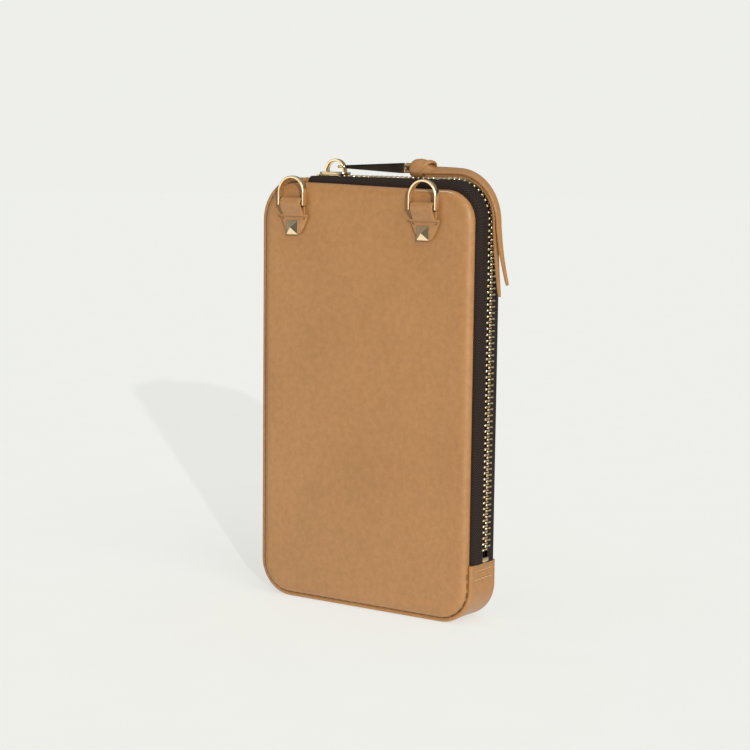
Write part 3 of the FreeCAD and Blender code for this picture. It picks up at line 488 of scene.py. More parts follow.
# %% Stops
def clip(name, node, along, rounding=0.3, fill=1.0):
    """A small rounded block in a stop's box, longest along the given axis; fill is its share of it."""
    low, high = limits(node)
    middle = (low + high) / 2
    half = (high - low) / 2 * fill
    order = {"x": (0, 1, 2), "y": (1, 0, 2), "z": (2, 0, 1)}[along]
    length, a, b = (half[i] for i in order)
    ends = [(-length, 0.6, 0.6), (-length + rounding, 1, 1), (length - rounding, 1, 1), (length, 0.6, 0.6)]
    shape = bar([(p, a * wa, b * wb, 0) for p, wa, wb in ends], 0.4, 16)
    axes = np.zeros((1, 3, 3))
    for row, axis in enumerate(order):
        axes[0, row, axis] = 1
    return piece(name, [repeated(shape, middle[None], axes)])


top_stop_front = clip("top_stop_front", "zip_top_stop_front", "y")
top_stop_rear = clip("top_stop_rear", "zip_top_stop_rear", "y")
bottom_stop = clip("bottom_stop", "zip_bottom_stop", "y", 0.7, 0.78)


# %% [markdown]
# The slider is two plates with turned-down sides, wider where the chain splits. On it stands a round
# arch, and the puller's eye hangs in that arch.
# %% Slider and bridge
slider_low, slider_high = limits("slider_body")
bridge_low, bridge_high = limits("slider_bridge")
slider_middle = (slider_low + slider_high) / 2
slider_half = (slider_high - slider_low) / 2
X_AXES = np.eye(3)[None]


def slider_plate(z, thick):
    """A plate whose half width swells towards the split end and whose ends are round."""
    t = np.linspace(-1, 1, 17)
    width = slider_half[1] * (0.86 - 0.14 * t) * (1 - np.abs(t) ** 6) ** 0.4
    width = np.maximum(width, 0.25 * slider_half[1])
    height = thick / 2 * np.where(np.abs(t) > 0.97, 0.6, 1.0)
    stations = np.stack([t * slider_half[0], width, height, np.zeros_like(t)], axis=1)
    origin = np.array([[slider_middle[0], 0.0, z]])
    return repeated(bar(stations, 0.3, 24), origin, X_AXES)


def slider_side(y, z):
    """One turned-down side of a plate."""
    stations = [(-5.2, 0.15, 0.25, 0), (-4.6, 0.34, 0.4, 0), (4.4, 0.34, 0.4, 0), (5.0, 0.15, 0.25, 0)]
    return repeated(bar(stations, 0.4, 12), np.array([[slider_middle[0], y, z]]), X_AXES)


plate_thick = 1.1
side_levels = (slider_low[2] + 1.35, slider_high[2] - 1.35)
sides = [slider_side(side * 4.1, z) for side in (-1, 1) for z in side_levels]
post_bar = bar([(-1.4, 1, 1.1, 0), (1.4, 0.8, 1.1, 0)], 0.4, 12)
post = repeated(post_bar, np.array([[slider_low[0] + 1.5, 0, slider_middle[2]]]), X_AXES)
plate_levels = (slider_low[2] + plate_thick / 2, slider_high[2] - plate_thick / 2)
plates = [slider_plate(z, plate_thick) for z in plate_levels]
slider_metal = piece("slider_metal", plates + sides + [post])


def band(path_x, path_z, half_depth, half_thick, y=0.0, around=12, corner=0.45, lean=0.0):
    """A flat band with rounded edges carried along a line in an upright plane. Its thickness lies
    across the line and its depth along Y, both turned about the line by lean, in radians."""
    steps_x = np.gradient(path_x)
    steps_z = np.gradient(path_z)
    length = np.hypot(steps_x, steps_z)
    normal_x = -steps_z / length
    normal_z = steps_x / length
    angle = np.linspace(0, 2 * math.pi, around + 1) + math.pi / around
    c = squared(np.cos(angle), corner)
    s = squared(np.sin(angle), corner)
    half_thick = np.broadcast_to(half_thick, path_x.shape)[:, None]
    half_depth = np.broadcast_to(half_depth, path_x.shape)[:, None]
    lean = np.broadcast_to(lean, path_x.shape)[:, None]
    across = half_depth * c * np.cos(lean) - half_thick * s * np.sin(lean)
    raised = half_depth * c * np.sin(lean) + half_thick * s * np.cos(lean)
    grid = np.empty((len(path_x), around + 1, 3))
    grid[..., 0] = path_x[:, None] + normal_x[:, None] * raised
    grid[..., 1] = y + across
    grid[..., 2] = path_z[:, None] + normal_z[:, None] * raised
    along = np.concatenate([[0], np.cumsum(np.hypot(np.diff(path_x), np.diff(path_z)))])
    across = np.broadcast_to(np.arange(around + 1) / around * 4 * float(half_depth.max()), grid.shape[:2])
    uv = np.stack([np.broadcast_to(along[:, None], across.shape), across], axis=-1)
    return surface(grid, uv, ends=True)


bridge_middle = (bridge_low[0] + bridge_high[0]) / 2
bridge_radius = (bridge_high[0] - bridge_low[0]) / 2
bridge_axis = bridge_high[2] - bridge_radius
swing = np.radians(np.linspace(180, 0, 33))
arch_radius = bridge_radius - 0.6
arch_x = np.concatenate([[-1.0], np.cos(swing), [1.0]]) * arch_radius + bridge_middle
arch_z = bridge_axis + np.sin(swing) * arch_radius
arch_z = np.concatenate([[bridge_low[2]], arch_z, [bridge_low[2]]])
bridge_arch = piece("bridge_arch", [band(arch_x, arch_z, 1.5, 0.6)])


# %% [markdown]
# The puller starts as a thin eye round the arch and grows into a thick, flat-faced wedge. Its far end
# is a square fork with a crossbar for the leather.
# %% Puller
puller_low, puller_high = limits("puller_bar")
puller_level = (puller_low[2] + puller_high[2]) / 2
loop_low, loop_high = limits("pull_loop")
crossbar_x = loop_low[0] + (loop_high[2] - loop_low[2]) / 2


def ring_tube(left, right, half, corner, radius_y, radius_z, level, around=10):
    """A wire bent into a flat rectangle with round corners, lying level."""
    total = edge_line(np.array([0.0]), (right - left) / 2, -half, half, corner)[3]
    px, py, facing, _ = edge_line(np.linspace(0, total, 41), (right - left) / 2, -half, half, corner)
    angle = np.linspace(0, 2 * math.pi, around + 1)
    grid = np.empty((41, around + 1, 3))
    grid[..., 0] = (left + right) / 2 + px[:, None] + np.cos(facing)[:, None] * radius_y * np.cos(angle)
    grid[..., 1] = py[:, None] + np.sin(facing)[:, None] * radius_y * np.cos(angle)
    grid[..., 2] = level + radius_z * np.sin(angle)
    return surface(grid)


eye = ring_tube(puller_low[0] + 0.5, puller_low[0] + 3.9, 2.25, 0.8, 0.5, 0.6, puller_level)
fork_half = (puller_high[2] - puller_low[2]) / 2
fork_start = crossbar_x + 0.6 - 3.5
at_level = np.array([[0.0, 0.0, puller_level]])
shank_x = puller_low[0] + 3.3
shank = bar([(shank_x, 1.5, 0.5, 0), (shank_x + 0.5, 2.2, 0.75, 0), (shank_x + 1.6, 2.4, 0.8, 0)], 0.3, 24)
t = np.linspace(0, 1, 13)
wedge_x = shank_x + 1.2 + (fork_start + 0.3 - shank_x - 1.2) * t
wedge = np.stack([wedge_x, 2.4 + 0.8 * t, 0.75 + 1.45 * t, 0 * t], axis=1)
wedge = np.concatenate([[[wedge_x[0] - 0.25, 2.0, 0.5, 0]], wedge, [[wedge_x[-1] + 0.3, 2.9, 1.9, 0]]])
puller_eye = piece("puller_eye", [eye, repeated(shank, at_level, X_AXES)], sharp=40)
cheek_ends = [(fork_start, 0.42, fork_half - 0.02, 0), (crossbar_x - 0.35, 0.42, fork_half - 0.05, 0)]
cheek_places = np.array([[0.0, -2.86, puller_level], [0.0, 2.86, puller_level]])
cheeks = repeated(bar(cheek_ends, 0.3, 16), cheek_places, np.repeat(X_AXES, 2, axis=0))
fork = ring_tube(fork_start + 0.45, crossbar_x + 0.2, 2.85, 0.5, 0.40, fork_half - 0.1, puller_level, 16)
wedge_part = repeated(bar(wedge, 0.14, 28), at_level, X_AXES)
puller_wedge = piece("puller_wedge", [wedge_part, cheeks], sharp=30)
rod_axes = np.array([[[0, 1, 0], [1, 0, 0], [0, 0, 1]]])
rod_bar = bar([(-3.0, 0.57, 0.57, 0), (3.0, 0.57, 0.57, 0)], 1.0, 16)
rod = repeated(rod_bar, np.array([[crossbar_x, 0, puller_level]]), rod_axes)
puller_fork = piece("puller_fork", [fork, rod], sharp=40)


# %% [markdown]
# The leather pull is one strap: a loop through the fork, a knot, and two long tails that lie over the
# zip, bend round the corner and hang down the side. A flat band carried along a smooth line makes the
# loop and the tails, and the knot is two leaning wraps about a tapered core.
# %% Leather pull
knot_low, knot_high = limits("pull_knot")
level = puller_level
swing = np.radians(np.linspace(90, 270, 25))
ROD_CLEAR = 0.68
STRAP_HALF = 0.62
loop_radius = ROD_CLEAR + STRAP_HALF
loop_x = crossbar_x + loop_radius * np.cos(swing)
loop_z = level + loop_radius * np.sin(swing)
rise_x = np.linspace(knot_low[0] + 3.4, crossbar_x + 0.4, 6)
rise_z = level + loop_radius + 1.9 * ((rise_x - crossbar_x) / 5.5) ** 2
loop_x = np.concatenate([rise_x, loop_x[1:], rise_x[::-1]])
under_z = level - loop_radius - 0.3 * ((rise_x[::-1] - crossbar_x) / 5.5) ** 2
loop_z = np.concatenate([rise_z, loop_z[1:], under_z])
pull_loop = piece("leather_loop", [band(loop_x, loop_z, 2.2, 0.55)])


def wrap(middle, half_y, half_z, width, thick, lean, twist):
    """A strap wrapped once round: an ellipse across the pull whose band is width wide, leaning by lean
    from bottom to top and by twist from front to back, with its edges pulled in."""
    around = np.radians(np.linspace(0, 360, 49))
    section = np.radians(np.linspace(0, 360, 17))
    c = squared(np.cos(section), 0.4)
    s = squared(np.sin(section), 0.6)
    a, b = np.meshgrid(around, np.arange(17), indexing="ij")
    across = c[b] * width / 2
    rise = thick / 2 * s[b] - 0.5 * (c[b] ** 2)
    grid = np.empty(a.shape + (3,))
    grid[..., 0] = middle[0] + across * (1 - 0.12 * np.cos(a)) + lean * np.sin(a) + twist * np.cos(a)
    grid[..., 1] = middle[1] + (half_y + rise) * np.cos(a)
    grid[..., 2] = middle[2] + (half_z + rise) * np.sin(a)
    return surface(grid, np.stack([a * half_y, across], axis=-1))


knot_middle = (knot_low + knot_high) / 2
core_places = [knot_low[0] + 0.5, knot_low[0] + 2.5, knot_middle[0]]
core_places += [knot_high[0] - 3, knot_high[0] - 1, knot_high[0] + 1.2]
core_widths = [2.2, 3.0, 3.5, 3.4, 3.2, 3.0]
core_heights = [1.9, 3.0, 3.3, 2.7, 2.0, 1.3]
core_shifts = [0.4, 0.1, -0.2, -0.7, -1.4, -2.0]
core = np.stack([core_places, core_widths, core_heights, core_shifts], axis=1)
core = repeated(bar(core, 0.5, 24), np.array([[0, 0, knot_middle[2] - 0.5]]), X_AXES)
cuff = wrap((knot_low[0] + 3.3, 0, knot_middle[2] - 1.05), 3.75, 3.65, 6.2, 1.2, 0.5, -0.2)
fold = wrap((knot_high[0] - 3.6, 0, knot_middle[2] - 0.9), 3.6, 3.1, 3.4, 1.1, 1.5, 1.2)
pull_knot = piece("leather_knot", [core, cuff, fold], sharp=60)


def tail(name, lift, splay, length, wave, lean):
    """One tail along the outside of the zip. It leaves the knot high and leaning forward, settles onto
    the chain, bends round the corner, and its tip stands off by splay."""
    share = np.linspace(0, 1, 90)
    start = knot_high[0] - 3.0
    leaning = np.exp(-((share * length / 26) ** 3))
    off = CHAIN + 0.9 + 0.35 + 0.65 + lift
    away = off + 0.5 * leaning + splay * np.clip((share - 0.5) / 0.5, 0, 1) ** 2
    distance = start + share * length
    corner = (CORNER + off) * math.pi / 2
    line = np.where(distance < TOP_RUN, distance, TOP_RUN + (distance - TOP_RUN) * QUARTER / corner)
    line = np.where(distance < TOP_RUN + corner, line, distance - corner + QUARTER)
    x, z, facing, _ = edge_line(line)
    width = 3.1 - 2.5 * share**1.4
    width = width * np.clip((1 - share) / 0.02, 0.35, 1) ** 0.5
    path = (x + np.cos(facing) * away, z + np.sin(facing) * away)
    return piece(name, [band(*path, width, 0.6, wave, 16, 0.35, math.radians(lean) * leaning)])


tail_inner = tail("tail_inner", 0.0, 2.6, 77.0, 0.35, 22)
tail_outer = tail("tail_outer", 1.35, 5.4, 74.0, -0.25, 26)


# %% [markdown]
# Two strap rings stand on the front: flat bands bent into an arch over a round bar. Each is held by a
# leather tab folded over its bar, and a pyramid stud rivets the tab to the panel.
# %% Rings
BAR_UP = 1.3
CREASE_DROP = 5.4
LEG_HALF = 0.65


def bar_and_crease(side):
    """Heights of a ring's bar and of the crease where its tab becomes the flap."""
    bar_z = limits(f"strap_ring_{side}")[0][2] + BAR_UP
    return bar_z, bar_z - CREASE_DROP


def ring(name, node):
    """Two legs and a half circle of flat band, with the bar across the foot."""
    low, high = limits(node)
    middle = (low[0] + high[0]) / 2
    radius = (high[0] - low[0]) / 2 - LEG_HALF
    bar_z = low[2] + BAR_UP
    top = high[2] - LEG_HALF - radius
    y = (low[1] + high[1]) / 2
    swing = np.radians(np.linspace(180, 0, 33))
    x = np.concatenate([[-radius] * 3, radius * np.cos(swing), [radius] * 3]) + middle
    legs = np.array([bar_z - 0.9, (bar_z + top) / 2, top - 0.4])
    z = np.concatenate([legs, top + radius * np.sin(swing), legs[::-1]])
    rod = bar([(-radius, 1.15, 1.15, 0), (radius, 1.15, 1.15, 0)], 1.0, 20)
    origin = np.array([[middle, y, bar_z]])
    return piece(name, [band(x, z, 1.62, 0.62, y, 16, 0.6), repeated(rod, origin, X_AXES)])


ring_left = ring("ring_left_metal", "strap_ring_left")
ring_right = ring("ring_right_metal", "strap_ring_right")


# %% Tabs
def strip(path_y, path_z, half_width, thick, middle, around=20, corner=0.25):
    """A strap carried along a line in the Y-Z plane, lying across X, with soft edges."""
    step_y = np.gradient(path_y)
    step_z = np.gradient(path_z)
    length = np.hypot(step_y, step_z)
    angle = np.linspace(0, 2 * math.pi, around + 1) + math.pi / around
    c = squared(np.cos(angle), corner)
    s = squared(np.sin(angle), 0.5)
    grid = np.empty((len(path_y), around + 1, 3))
    grid[..., 0] = middle + half_width[:, None] * c
    half = np.broadcast_to(thick, path_y.shape)[:, None] / 2
    grid[..., 1] = path_y[:, None] - (step_z / length)[:, None] * half * s
    grid[..., 2] = path_z[:, None] + (step_y / length)[:, None] * half * s
    along = np.concatenate([[0], np.cumsum(np.hypot(np.diff(path_y), np.diff(path_z)))])
    uv = np.stack([grid[..., 0], np.broadcast_to(along[:, None], grid.shape[:2])], axis=-1)
    return surface(grid, uv, ends=True)


def tab(name, side):
    """A strap from behind the stud, up over the bar and down again. Below its crease it is sewn into a
    flap with a raised top edge, whose sides taper to the stud."""
    ring_low, ring_high = limits(f"strap_ring_{side}")
    bar_y = (ring_low[1] + ring_high[1]) / 2
    bar_z, crease = bar_and_crease(side)
    swing = np.radians(np.linspace(0, 180, 17))
    radius = 1.38 + 0.58
    back_y = tab_boxes[side][1][1] - 0.6
    down_y = np.linspace(bar_y - radius, back_y - 1.25, 8)[1:]
    down_z = np.linspace(bar_z - 0.6, crease, 8)[1:]
    y = np.concatenate([[back_y] * 4, bar_y + radius * np.cos(swing), down_y])
    up_z = np.linspace(crease - 1.0, bar_z - 0.5, 4)
    z = np.concatenate([up_z, bar_z + radius * np.sin(swing), down_z])
    strap = strip(y, z, np.full(len(y), 5.6), 1.15, RING_X[side])
    t = np.linspace(0, 1, 14)
    flap_foot = STUD_Z - stud_half + 0.3
    flap_z = crease + 0.2 - (crease + 0.2 - flap_foot) * t
    flap = strip(np.full(14, back_y - 0.35), flap_z, 7.4 - 4.1 * t**1.4, 1.1, RING_X[side])
    lip_t = np.linspace(0, 1, 7)
    lip_y = np.full(7, back_y - 1.3)
    lip_thick = 1.1 * np.sin(np.pi * (0.15 + 0.7 * lip_t))
    lip = strip(lip_y, crease + 0.55 - 1.1 * lip_t, np.full(7, 7.6), lip_thick, RING_X[side])
    return piece(name, [strap, flap, lip], sharp=60)


tab_left = tab("tab_left", "left")
tab_right = tab("tab_right", "right")


# %% Studs
def pyramid(x, z, half, base_y, apex_y):
    """A square stud: an upright rim, a narrow bevel, and four flat sides that meet at a point."""
    rim_y = apex_y + 0.5 * half
    rings = [(half, base_y), (half, rim_y + 0.15), (half - 0.15, rim_y), (0.05, apex_y), (0.0, apex_y)]
    square = np.array([(-1, -1), (1, -1), (1, 1), (-1, 1), (-1, -1)])
    grid = np.array([[(x + a * size, y, z + b * size) for a, b in square] for size, y in rings])
    return surface(grid)


STUD_HEIGHT = 2.6
STUD_SHIFT = -0.4
stud_base = tab_boxes["left"][1][1] - 1.2
stud_apex = stud_base - STUD_HEIGHT
stud_x = [x + STUD_SHIFT for x in RING_X.values()]
stud_parts = [pyramid(x, STUD_Z, stud_half, stud_base, stud_apex) for x in stud_x]
studs = piece("studs", stud_parts, sharp=15)


# %% [markdown]
# Seams are what make leather goods read as sewn. A stitch is a short thread that rises out of one hole
# and dips into the next, so each is a small bent capsule, repeated along the seam.
# %% Stitches
def stitch(length, radius):
    """A thread along its second axis, round in section, whose ends dip below the leather."""
    t = np.linspace(-1, 1, 7)
    thin = radius * np.sqrt(np.clip(1 - 0.85 * t**6, 0, 1))
    shape = np.stack([t * length / 2, thin, thin, -radius * 1.6 * t**6], axis=1)
    points, faces, uv = bar(shape, 1.0, 8)
    return points[:, [1, 0, 2]], faces, uv


def tilted(axes, degrees):
    """Turn each copy's depth and outward axes about the direction of the seam."""
    c, s = math.cos(math.radians(degrees)), math.sin(math.radians(degrees))
    turned = axes.copy()
    turned[:, 0] = c * axes[:, 0] + s * axes[:, 2]
    turned[:, 2] = c * axes[:, 2] - s * axes[:, 0]
    return turned


def seam(side, depth, inset, start, end, step=4.0, long=3.3):
    """A row of stitches in the groove between a panel and the gusset."""
    count = int((end - start) / step)
    distance = start + (np.arange(count) + 0.5) * (end - start) / count
    origins, axes = frames_on_edge(distance, -inset, side * depth)
    return repeated(stitch(long, 0.27), origins, tilted(axes, side * -60))


def cross_seam(distance, offset, half, long=2.2, step=2.8):
    """A row of stitches across the gusset."""
    depth = np.arange(-half, half + 0.1, step)
    origins, axes = frames_on_edge(np.full(len(depth), distance), offset, 0.0)
    origins[:, 1] += depth
    turned = axes[:, [1, 0, 2]]
    return repeated(stitch(long, 0.26), origins, turned)


def tab_stitches(side):
    """Two upright rows on the strap, one along each of its edges."""
    bar_z, crease = bar_and_crease(side)
    front = tab_boxes[side][1][1] - 2.5
    z = np.arange(crease + 1.8, bar_z - 0.4, 1.35)
    share = (z - crease) / (bar_z - 0.6 - crease)
    rows = [np.stack([RING_X[side] + a + 0 * z, front - 2.15 * share, z], axis=1) for a in (-4.5, 4.5)]
    origins = np.concatenate(rows)
    lean = np.array([0, -0.34, 0.94])
    axes = np.broadcast_to(np.array([[1, 0, 0], lean, [0, -0.94, -0.34]], float), (len(origins), 3, 3))
    return repeated(stitch(1.05, 0.15), origins, axes)


def lip_stitches(side):
    """Short dark stitches at the two ends of the flap's raised edge."""
    crease = bar_and_crease(side)[1]
    front = tab_boxes[side][1][1] - 1.5
    origins = np.array([(RING_X[side] + a, front, crease - 1.5) for a in (-5.7, 5.7)])
    axes = np.array([[[0, 0, 1], [0.8, 0, way * 0.6], [0, -1, 0]] for way in (-1, 1)], float)
    return repeated(stitch(1.6, 0.22), origins, axes)


def sewn_piece(name, parts):
    """Stitches as one object, merged finely because a thread is thin."""
    return piece(name, parts, merge=0.0005, sharp=60)


tab_seam = sewn_piece("seam_tabs", [tab_stitches("left"), tab_stitches("right")])
lip_seam = sewn_piece("seam_lips", [lip_stitches("left"), lip_stitches("right")])
sewn = (ZIP_END + 3, TOTAL + ZIP_START - 3)
front_seam = sewn_piece("seam_front", [seam(-1, SEAM + 1.62, 0.2, *sewn)])
rear_seam = sewn_piece("seam_rear", [seam(1, SEAM + 1.5, 0.2, *sewn)])
ends = (ZIP_END + 3.0, ZIP_END + 6.8, TOTAL + ZIP_START - 3.0)
cross = [cross_seam(at, OUT - 0.1, 5.6) for at in ends]
foot_seam = sewn_piece("seam_zip_ends", cross)


# %% [markdown]
# Inside, the front half carries a lining and four stepped card panels, and the rear half a lining and
# a phone pocket with a bound rim. They are thin plates with soft edges, made like the big panels.
# %% Inside
def plate_from(name, node, corner, roll, facing, spine=None):
    """A thin soft plate that fills a solid's box, its face turned to the front or the rear."""
    low, high = limits(node)
    inner, outer = (high[1], low[1]) if facing < 0 else (low[1], high[1])
    plate = padded_plate(high[0], low[2], high[2], corner, inner, outer, roll, 0.0, 4.0, (), spine)
    return piece(name, [plate])


lining_front = plate_from("lining_front", "front_lining", 12.0, 0.35, 1, SPINE - 2)
lining_rear = plate_from("lining_rear", "rear_lining", 12.0, 0.35, -1, SPINE - 2)
cards = [plate_from(f"card_panel_{i}", f"card_slot_{i}", 3.0, 0.5, 1) for i in (1, 2, 3, 4)]
pocket_low, pocket_high = limits("phone_pocket")
pocket_shape = dict(half=pocket_high[0], low=pocket_low[2], high=pocket_high[2], corner=3.0)
lip_y, deep_y = pocket_low[1], pocket_high[1]
pocket_face = padded_plate(*pocket_shape.values(), lip_y + 0.8, lip_y, 0.5, 0.0, 4.0)
wall_out = [-0.8, -0.05, 0, 0, -0.8, -0.8]
wall_deep = [lip_y + 0.5, lip_y + 0.6, lip_y + 1, deep_y, deep_y, lip_y + 0.5]
wall = np.stack([wall_out, wall_deep], axis=1)
pocket_total = edge_line(np.array([0.0]), **pocket_shape)[3]
wall_run = np.linspace(pocket_high[0] + 2, pocket_total - pocket_high[0] - 2, 120)
wall_grid, wall_uv = carried(wall, wall_run, **pocket_shape)
pocket = piece("pocket", [pocket_face, surface(wall_grid, wall_uv, ends=True)])
binding = plate_from("pocket_rim", "pocket_binding", 0.6, 0.4, -1)


# %% [markdown]
# Materials come next. A small helper keeps the node trees readable: it adds a node, sets its values,
# and links any socket that is given as an input.
# %% Node helper
def finish(name):
    """A new material, its node tree and its main shader."""
    material = bpy.data.materials.new(name)
    material.use_nodes = True
    tree = material.node_tree
    return material, tree, tree.nodes["Principled BSDF"]


def add(tree, kind, inputs=None, **settings):
    """Add a node; inputs maps a socket's name or number to a value or to another node's output."""
    made = tree.nodes.new(kind)
    for key, value in settings.items():
        setattr(made, key, value)
    for key, value in (inputs or {}).items():
        if isinstance(value, bpy.types.NodeSocket):
            tree.links.new(value, made.inputs[key])
        else:
            made.inputs[key].default_value = value
    return made


def math_node(tree, operation, a, b=0.0):
    """One step of arithmetic."""
    return add(tree, "ShaderNodeMath", {0: a, 1: b}, operation=operation).outputs[0]


def blended(tree, a, share, b):
    """share of a, and the rest of b."""
    first = math_node(tree, "MULTIPLY", a, share)
    return math_node(tree, "ADD", first, math_node(tree, "MULTIPLY", b, 1 - share))


def noise(tree, vector, scale, detail=3.0, rough=0.5):
    """Soft random noise about 0.5."""
    inputs = {"Vector": vector, "Scale": scale, "Detail": detail, "Roughness": rough}
    return add(tree, "ShaderNodeTexNoise", inputs).outputs["Fac"]


def ramp(tree, value, stops):
    """Colours or greys picked by a value, from (place, colour) pairs."""
    made = add(tree, "ShaderNodeValToRGB", {"Fac": value})
    elements = made.color_ramp.elements
    for element, (place, colour) in zip((elements[0], elements[1]), (stops[0], stops[-1])):
        element.position = place
        element.color = (*colour, 1)
    for place, colour in stops[1:-1]:
        elements.new(place).color = (*colour, 1)
    return made.outputs["Color"]


def bumped(tree, shader, height, depth, strength=1.0, under=None):
    """Tilt the shader's normal by a height, whose full range is depth in metres."""
    inputs = {"Height": height, "Distance": depth, "Strength": strength}
    if under is not None:
        inputs["Normal"] = under
    made = add(tree, "ShaderNodeBump", inputs)
    tree.links.new(made.outputs["Normal"], shader.inputs["Normal"])
    return made.outputs["Normal"]


# %% [markdown]
# The leather is smooth calf: a very fine grain of rounded cells, a slow drift of colour where the dye
# took differently, and a satin surface.
# %% Leather
def leather(name, dark, middle, light, rough=0.45, grain=0.0007, depth=0.00005):
    """Colour drifts with two noises; the grain is the distance to the edges of tiny random cells."""
    material, tree, shader = finish(name)
    place = add(tree, "ShaderNodeTexCoord").outputs["Object"]
    drift = noise(tree, place, 22.0, 3.0)
    mottle = noise(tree, place, 420.0, 4.0, 0.6)
    mixed = blended(tree, drift, 0.35, mottle)
    tone = ramp(tree, mixed, [(0.34, dark), (0.5, middle), (0.66, light)])
    tree.links.new(tone, shader.inputs["Base Color"])
    cell_inputs = {"Vector": place, "Scale": 1 / grain, "Randomness": 1.0}
    cells = add(tree, "ShaderNodeTexVoronoi", cell_inputs, feature="DISTANCE_TO_EDGE").outputs["Distance"]
    cells = math_node(tree, "MINIMUM", math_node(tree, "MULTIPLY", cells, 4.0), 1.0)
    pores = noise(tree, place, 2600.0, 2.0)
    height = blended(tree, cells, 0.6, pores)
    under = bumped(tree, shader, noise(tree, place, 90.0, 2.0), 0.00008, 0.25)
    bumped(tree, shader, height, depth, 0.6, under)
    shine = {"Value": mottle, "To Min": rough - 0.06, "To Max": rough + 0.08}
    shine = add(tree, "ShaderNodeMapRange", shine)
    tree.links.new(shine.outputs["Result"], shader.inputs["Roughness"])
    shader.inputs["Specular IOR Level"].default_value = 0.45
    shader.inputs["Coat Weight"].default_value = 0.05
    shader.inputs["Coat Roughness"].default_value = 0.3
    return material


TAN_TONES = [(0.340, 0.161, 0.052), (0.381, 0.184, 0.062), (0.422, 0.208, 0.073)]
TAN = leather("tan calf leather", *TAN_TONES)
STRAP_TONES = [(0.345, 0.166, 0.056), (0.388, 0.190, 0.067), (0.432, 0.216, 0.079)]
STRAP = leather("strap leather", *STRAP_TONES, 0.44, 0.0006)
INSIDE_TONES = [(0.31, 0.155, 0.064), (0.35, 0.175, 0.073), (0.39, 0.198, 0.085)]
INSIDE = leather("pocket leather", *INSIDE_TONES, 0.5, 0.0008)


# %% [markdown]
# Zip tape is woven in a herringbone: threads lean one way in one rib and the other way in the next.
# On the tape's own flat map that is a stripe whose distance along the tape is shifted by a zigzag
# across it.
# %% Woven tape and lining
def herringbone(name, dark, light):
    """Stripe = sine of (along + zigzag of across) / pitch; it gives both colour and height."""
    material, tree, shader = finish(name)
    uv = add(tree, "ShaderNodeUVMap", uv_map="flat").outputs["UV"]
    split = add(tree, "ShaderNodeSeparateXYZ", {"Vector": uv})
    along, across = split.outputs["X"], split.outputs["Y"]
    zigzag = math_node(tree, "PINGPONG", across, 0.0016)
    lean = math_node(tree, "ADD", along, math_node(tree, "MULTIPLY", zigzag, 1.3))
    stripe = math_node(tree, "SINE", math_node(tree, "MULTIPLY", lean, 2 * math.pi / 0.0012))
    stripe = math_node(tree, "ADD", math_node(tree, "MULTIPLY", stripe, 0.5), 0.5)
    fibre = noise(tree, add(tree, "ShaderNodeTexCoord").outputs["Object"], 3500.0, 2.0)
    mixed = blended(tree, stripe, 0.7, fibre)
    tree.links.new(ramp(tree, mixed, [(0.25, dark), (0.85, light)]), shader.inputs["Base Color"])
    bumped(tree, shader, mixed, 0.0002, 0.8)
    rough = add(tree, "ShaderNodeMapRange", {"Value": fibre, "To Min": 0.75, "To Max": 0.95})
    tree.links.new(rough.outputs["Result"], shader.inputs["Roughness"])
    shader.inputs["Specular IOR Level"].default_value = 0.2
    return material


def woven(name, dark, light, pitch=0.0006):
    """Plain weave: the product of two sines at right angles, on Object coordinates."""
    material, tree, shader = finish(name)
    place = add(tree, "ShaderNodeTexCoord").outputs["Object"]
    split = add(tree, "ShaderNodeSeparateXYZ", {"Vector": place})
    turns = [math_node(tree, "MULTIPLY", split.outputs[axis], 2 * math.pi / pitch) for axis in "XZ"]
    waves = [math_node(tree, "SINE", turn) for turn in turns]
    weave = math_node(tree, "ADD", math_node(tree, "MULTIPLY", math_node(tree, "MULTIPLY", *waves), 0.5), 0.5)
    fibre = noise(tree, place, 1800.0, 3.0)
    mixed = blended(tree, weave, 0.6, fibre)
    tree.links.new(ramp(tree, mixed, [(0.2, dark), (0.8, light)]), shader.inputs["Base Color"])
    bumped(tree, shader, mixed, 0.00012, 0.6)
    rough = add(tree, "ShaderNodeMapRange", {"Value": fibre, "To Min": 0.7, "To Max": 0.9})
    tree.links.new(rough.outputs["Result"], shader.inputs["Roughness"])
    return material


TAPE = herringbone("woven zip tape", (0.004, 0.0025, 0.002), (0.046, 0.029, 0.022))
LINING = woven("woven lining", (0.30, 0.2, 0.12), (0.42, 0.3, 0.19))


# %% [markdown]
# The metal is pale gold plate, polished but handled: fine scratches in its roughness and a faint
# waviness. The puller's wedge is the same polish on a plate that is dark of its own. Its colour is
# darkened further to nearly black, a painted dark reflection that keeps its flat face from mirroring the
# bright window.
# %% Metal, thread and hidden layers
def metal(name, dark, light, low, high):
    """Colour and roughness drift with stretched noise, which reads as fine brushing and wear."""
    material, tree, shader = finish(name)
    place = add(tree, "ShaderNodeTexCoord").outputs["Object"]
    stretched = add(tree, "ShaderNodeMapping", {"Vector": place, "Scale": (1.0, 6.0, 6.0)}).outputs["Vector"]
    scratch = noise(tree, stretched, 900.0, 4.0, 0.65)
    drift = noise(tree, place, 120.0, 2.0)
    tree.links.new(ramp(tree, drift, [(0.35, dark), (0.65, light)]), shader.inputs["Base Color"])
    rough = add(tree, "ShaderNodeMapRange", {"Value": scratch, "To Min": low, "To Max": high})
    tree.links.new(rough.outputs["Result"], shader.inputs["Roughness"])
    shader.inputs["Metallic"].default_value = 1.0
    bumped(tree, shader, scratch, 0.00001, 0.3)
    return material


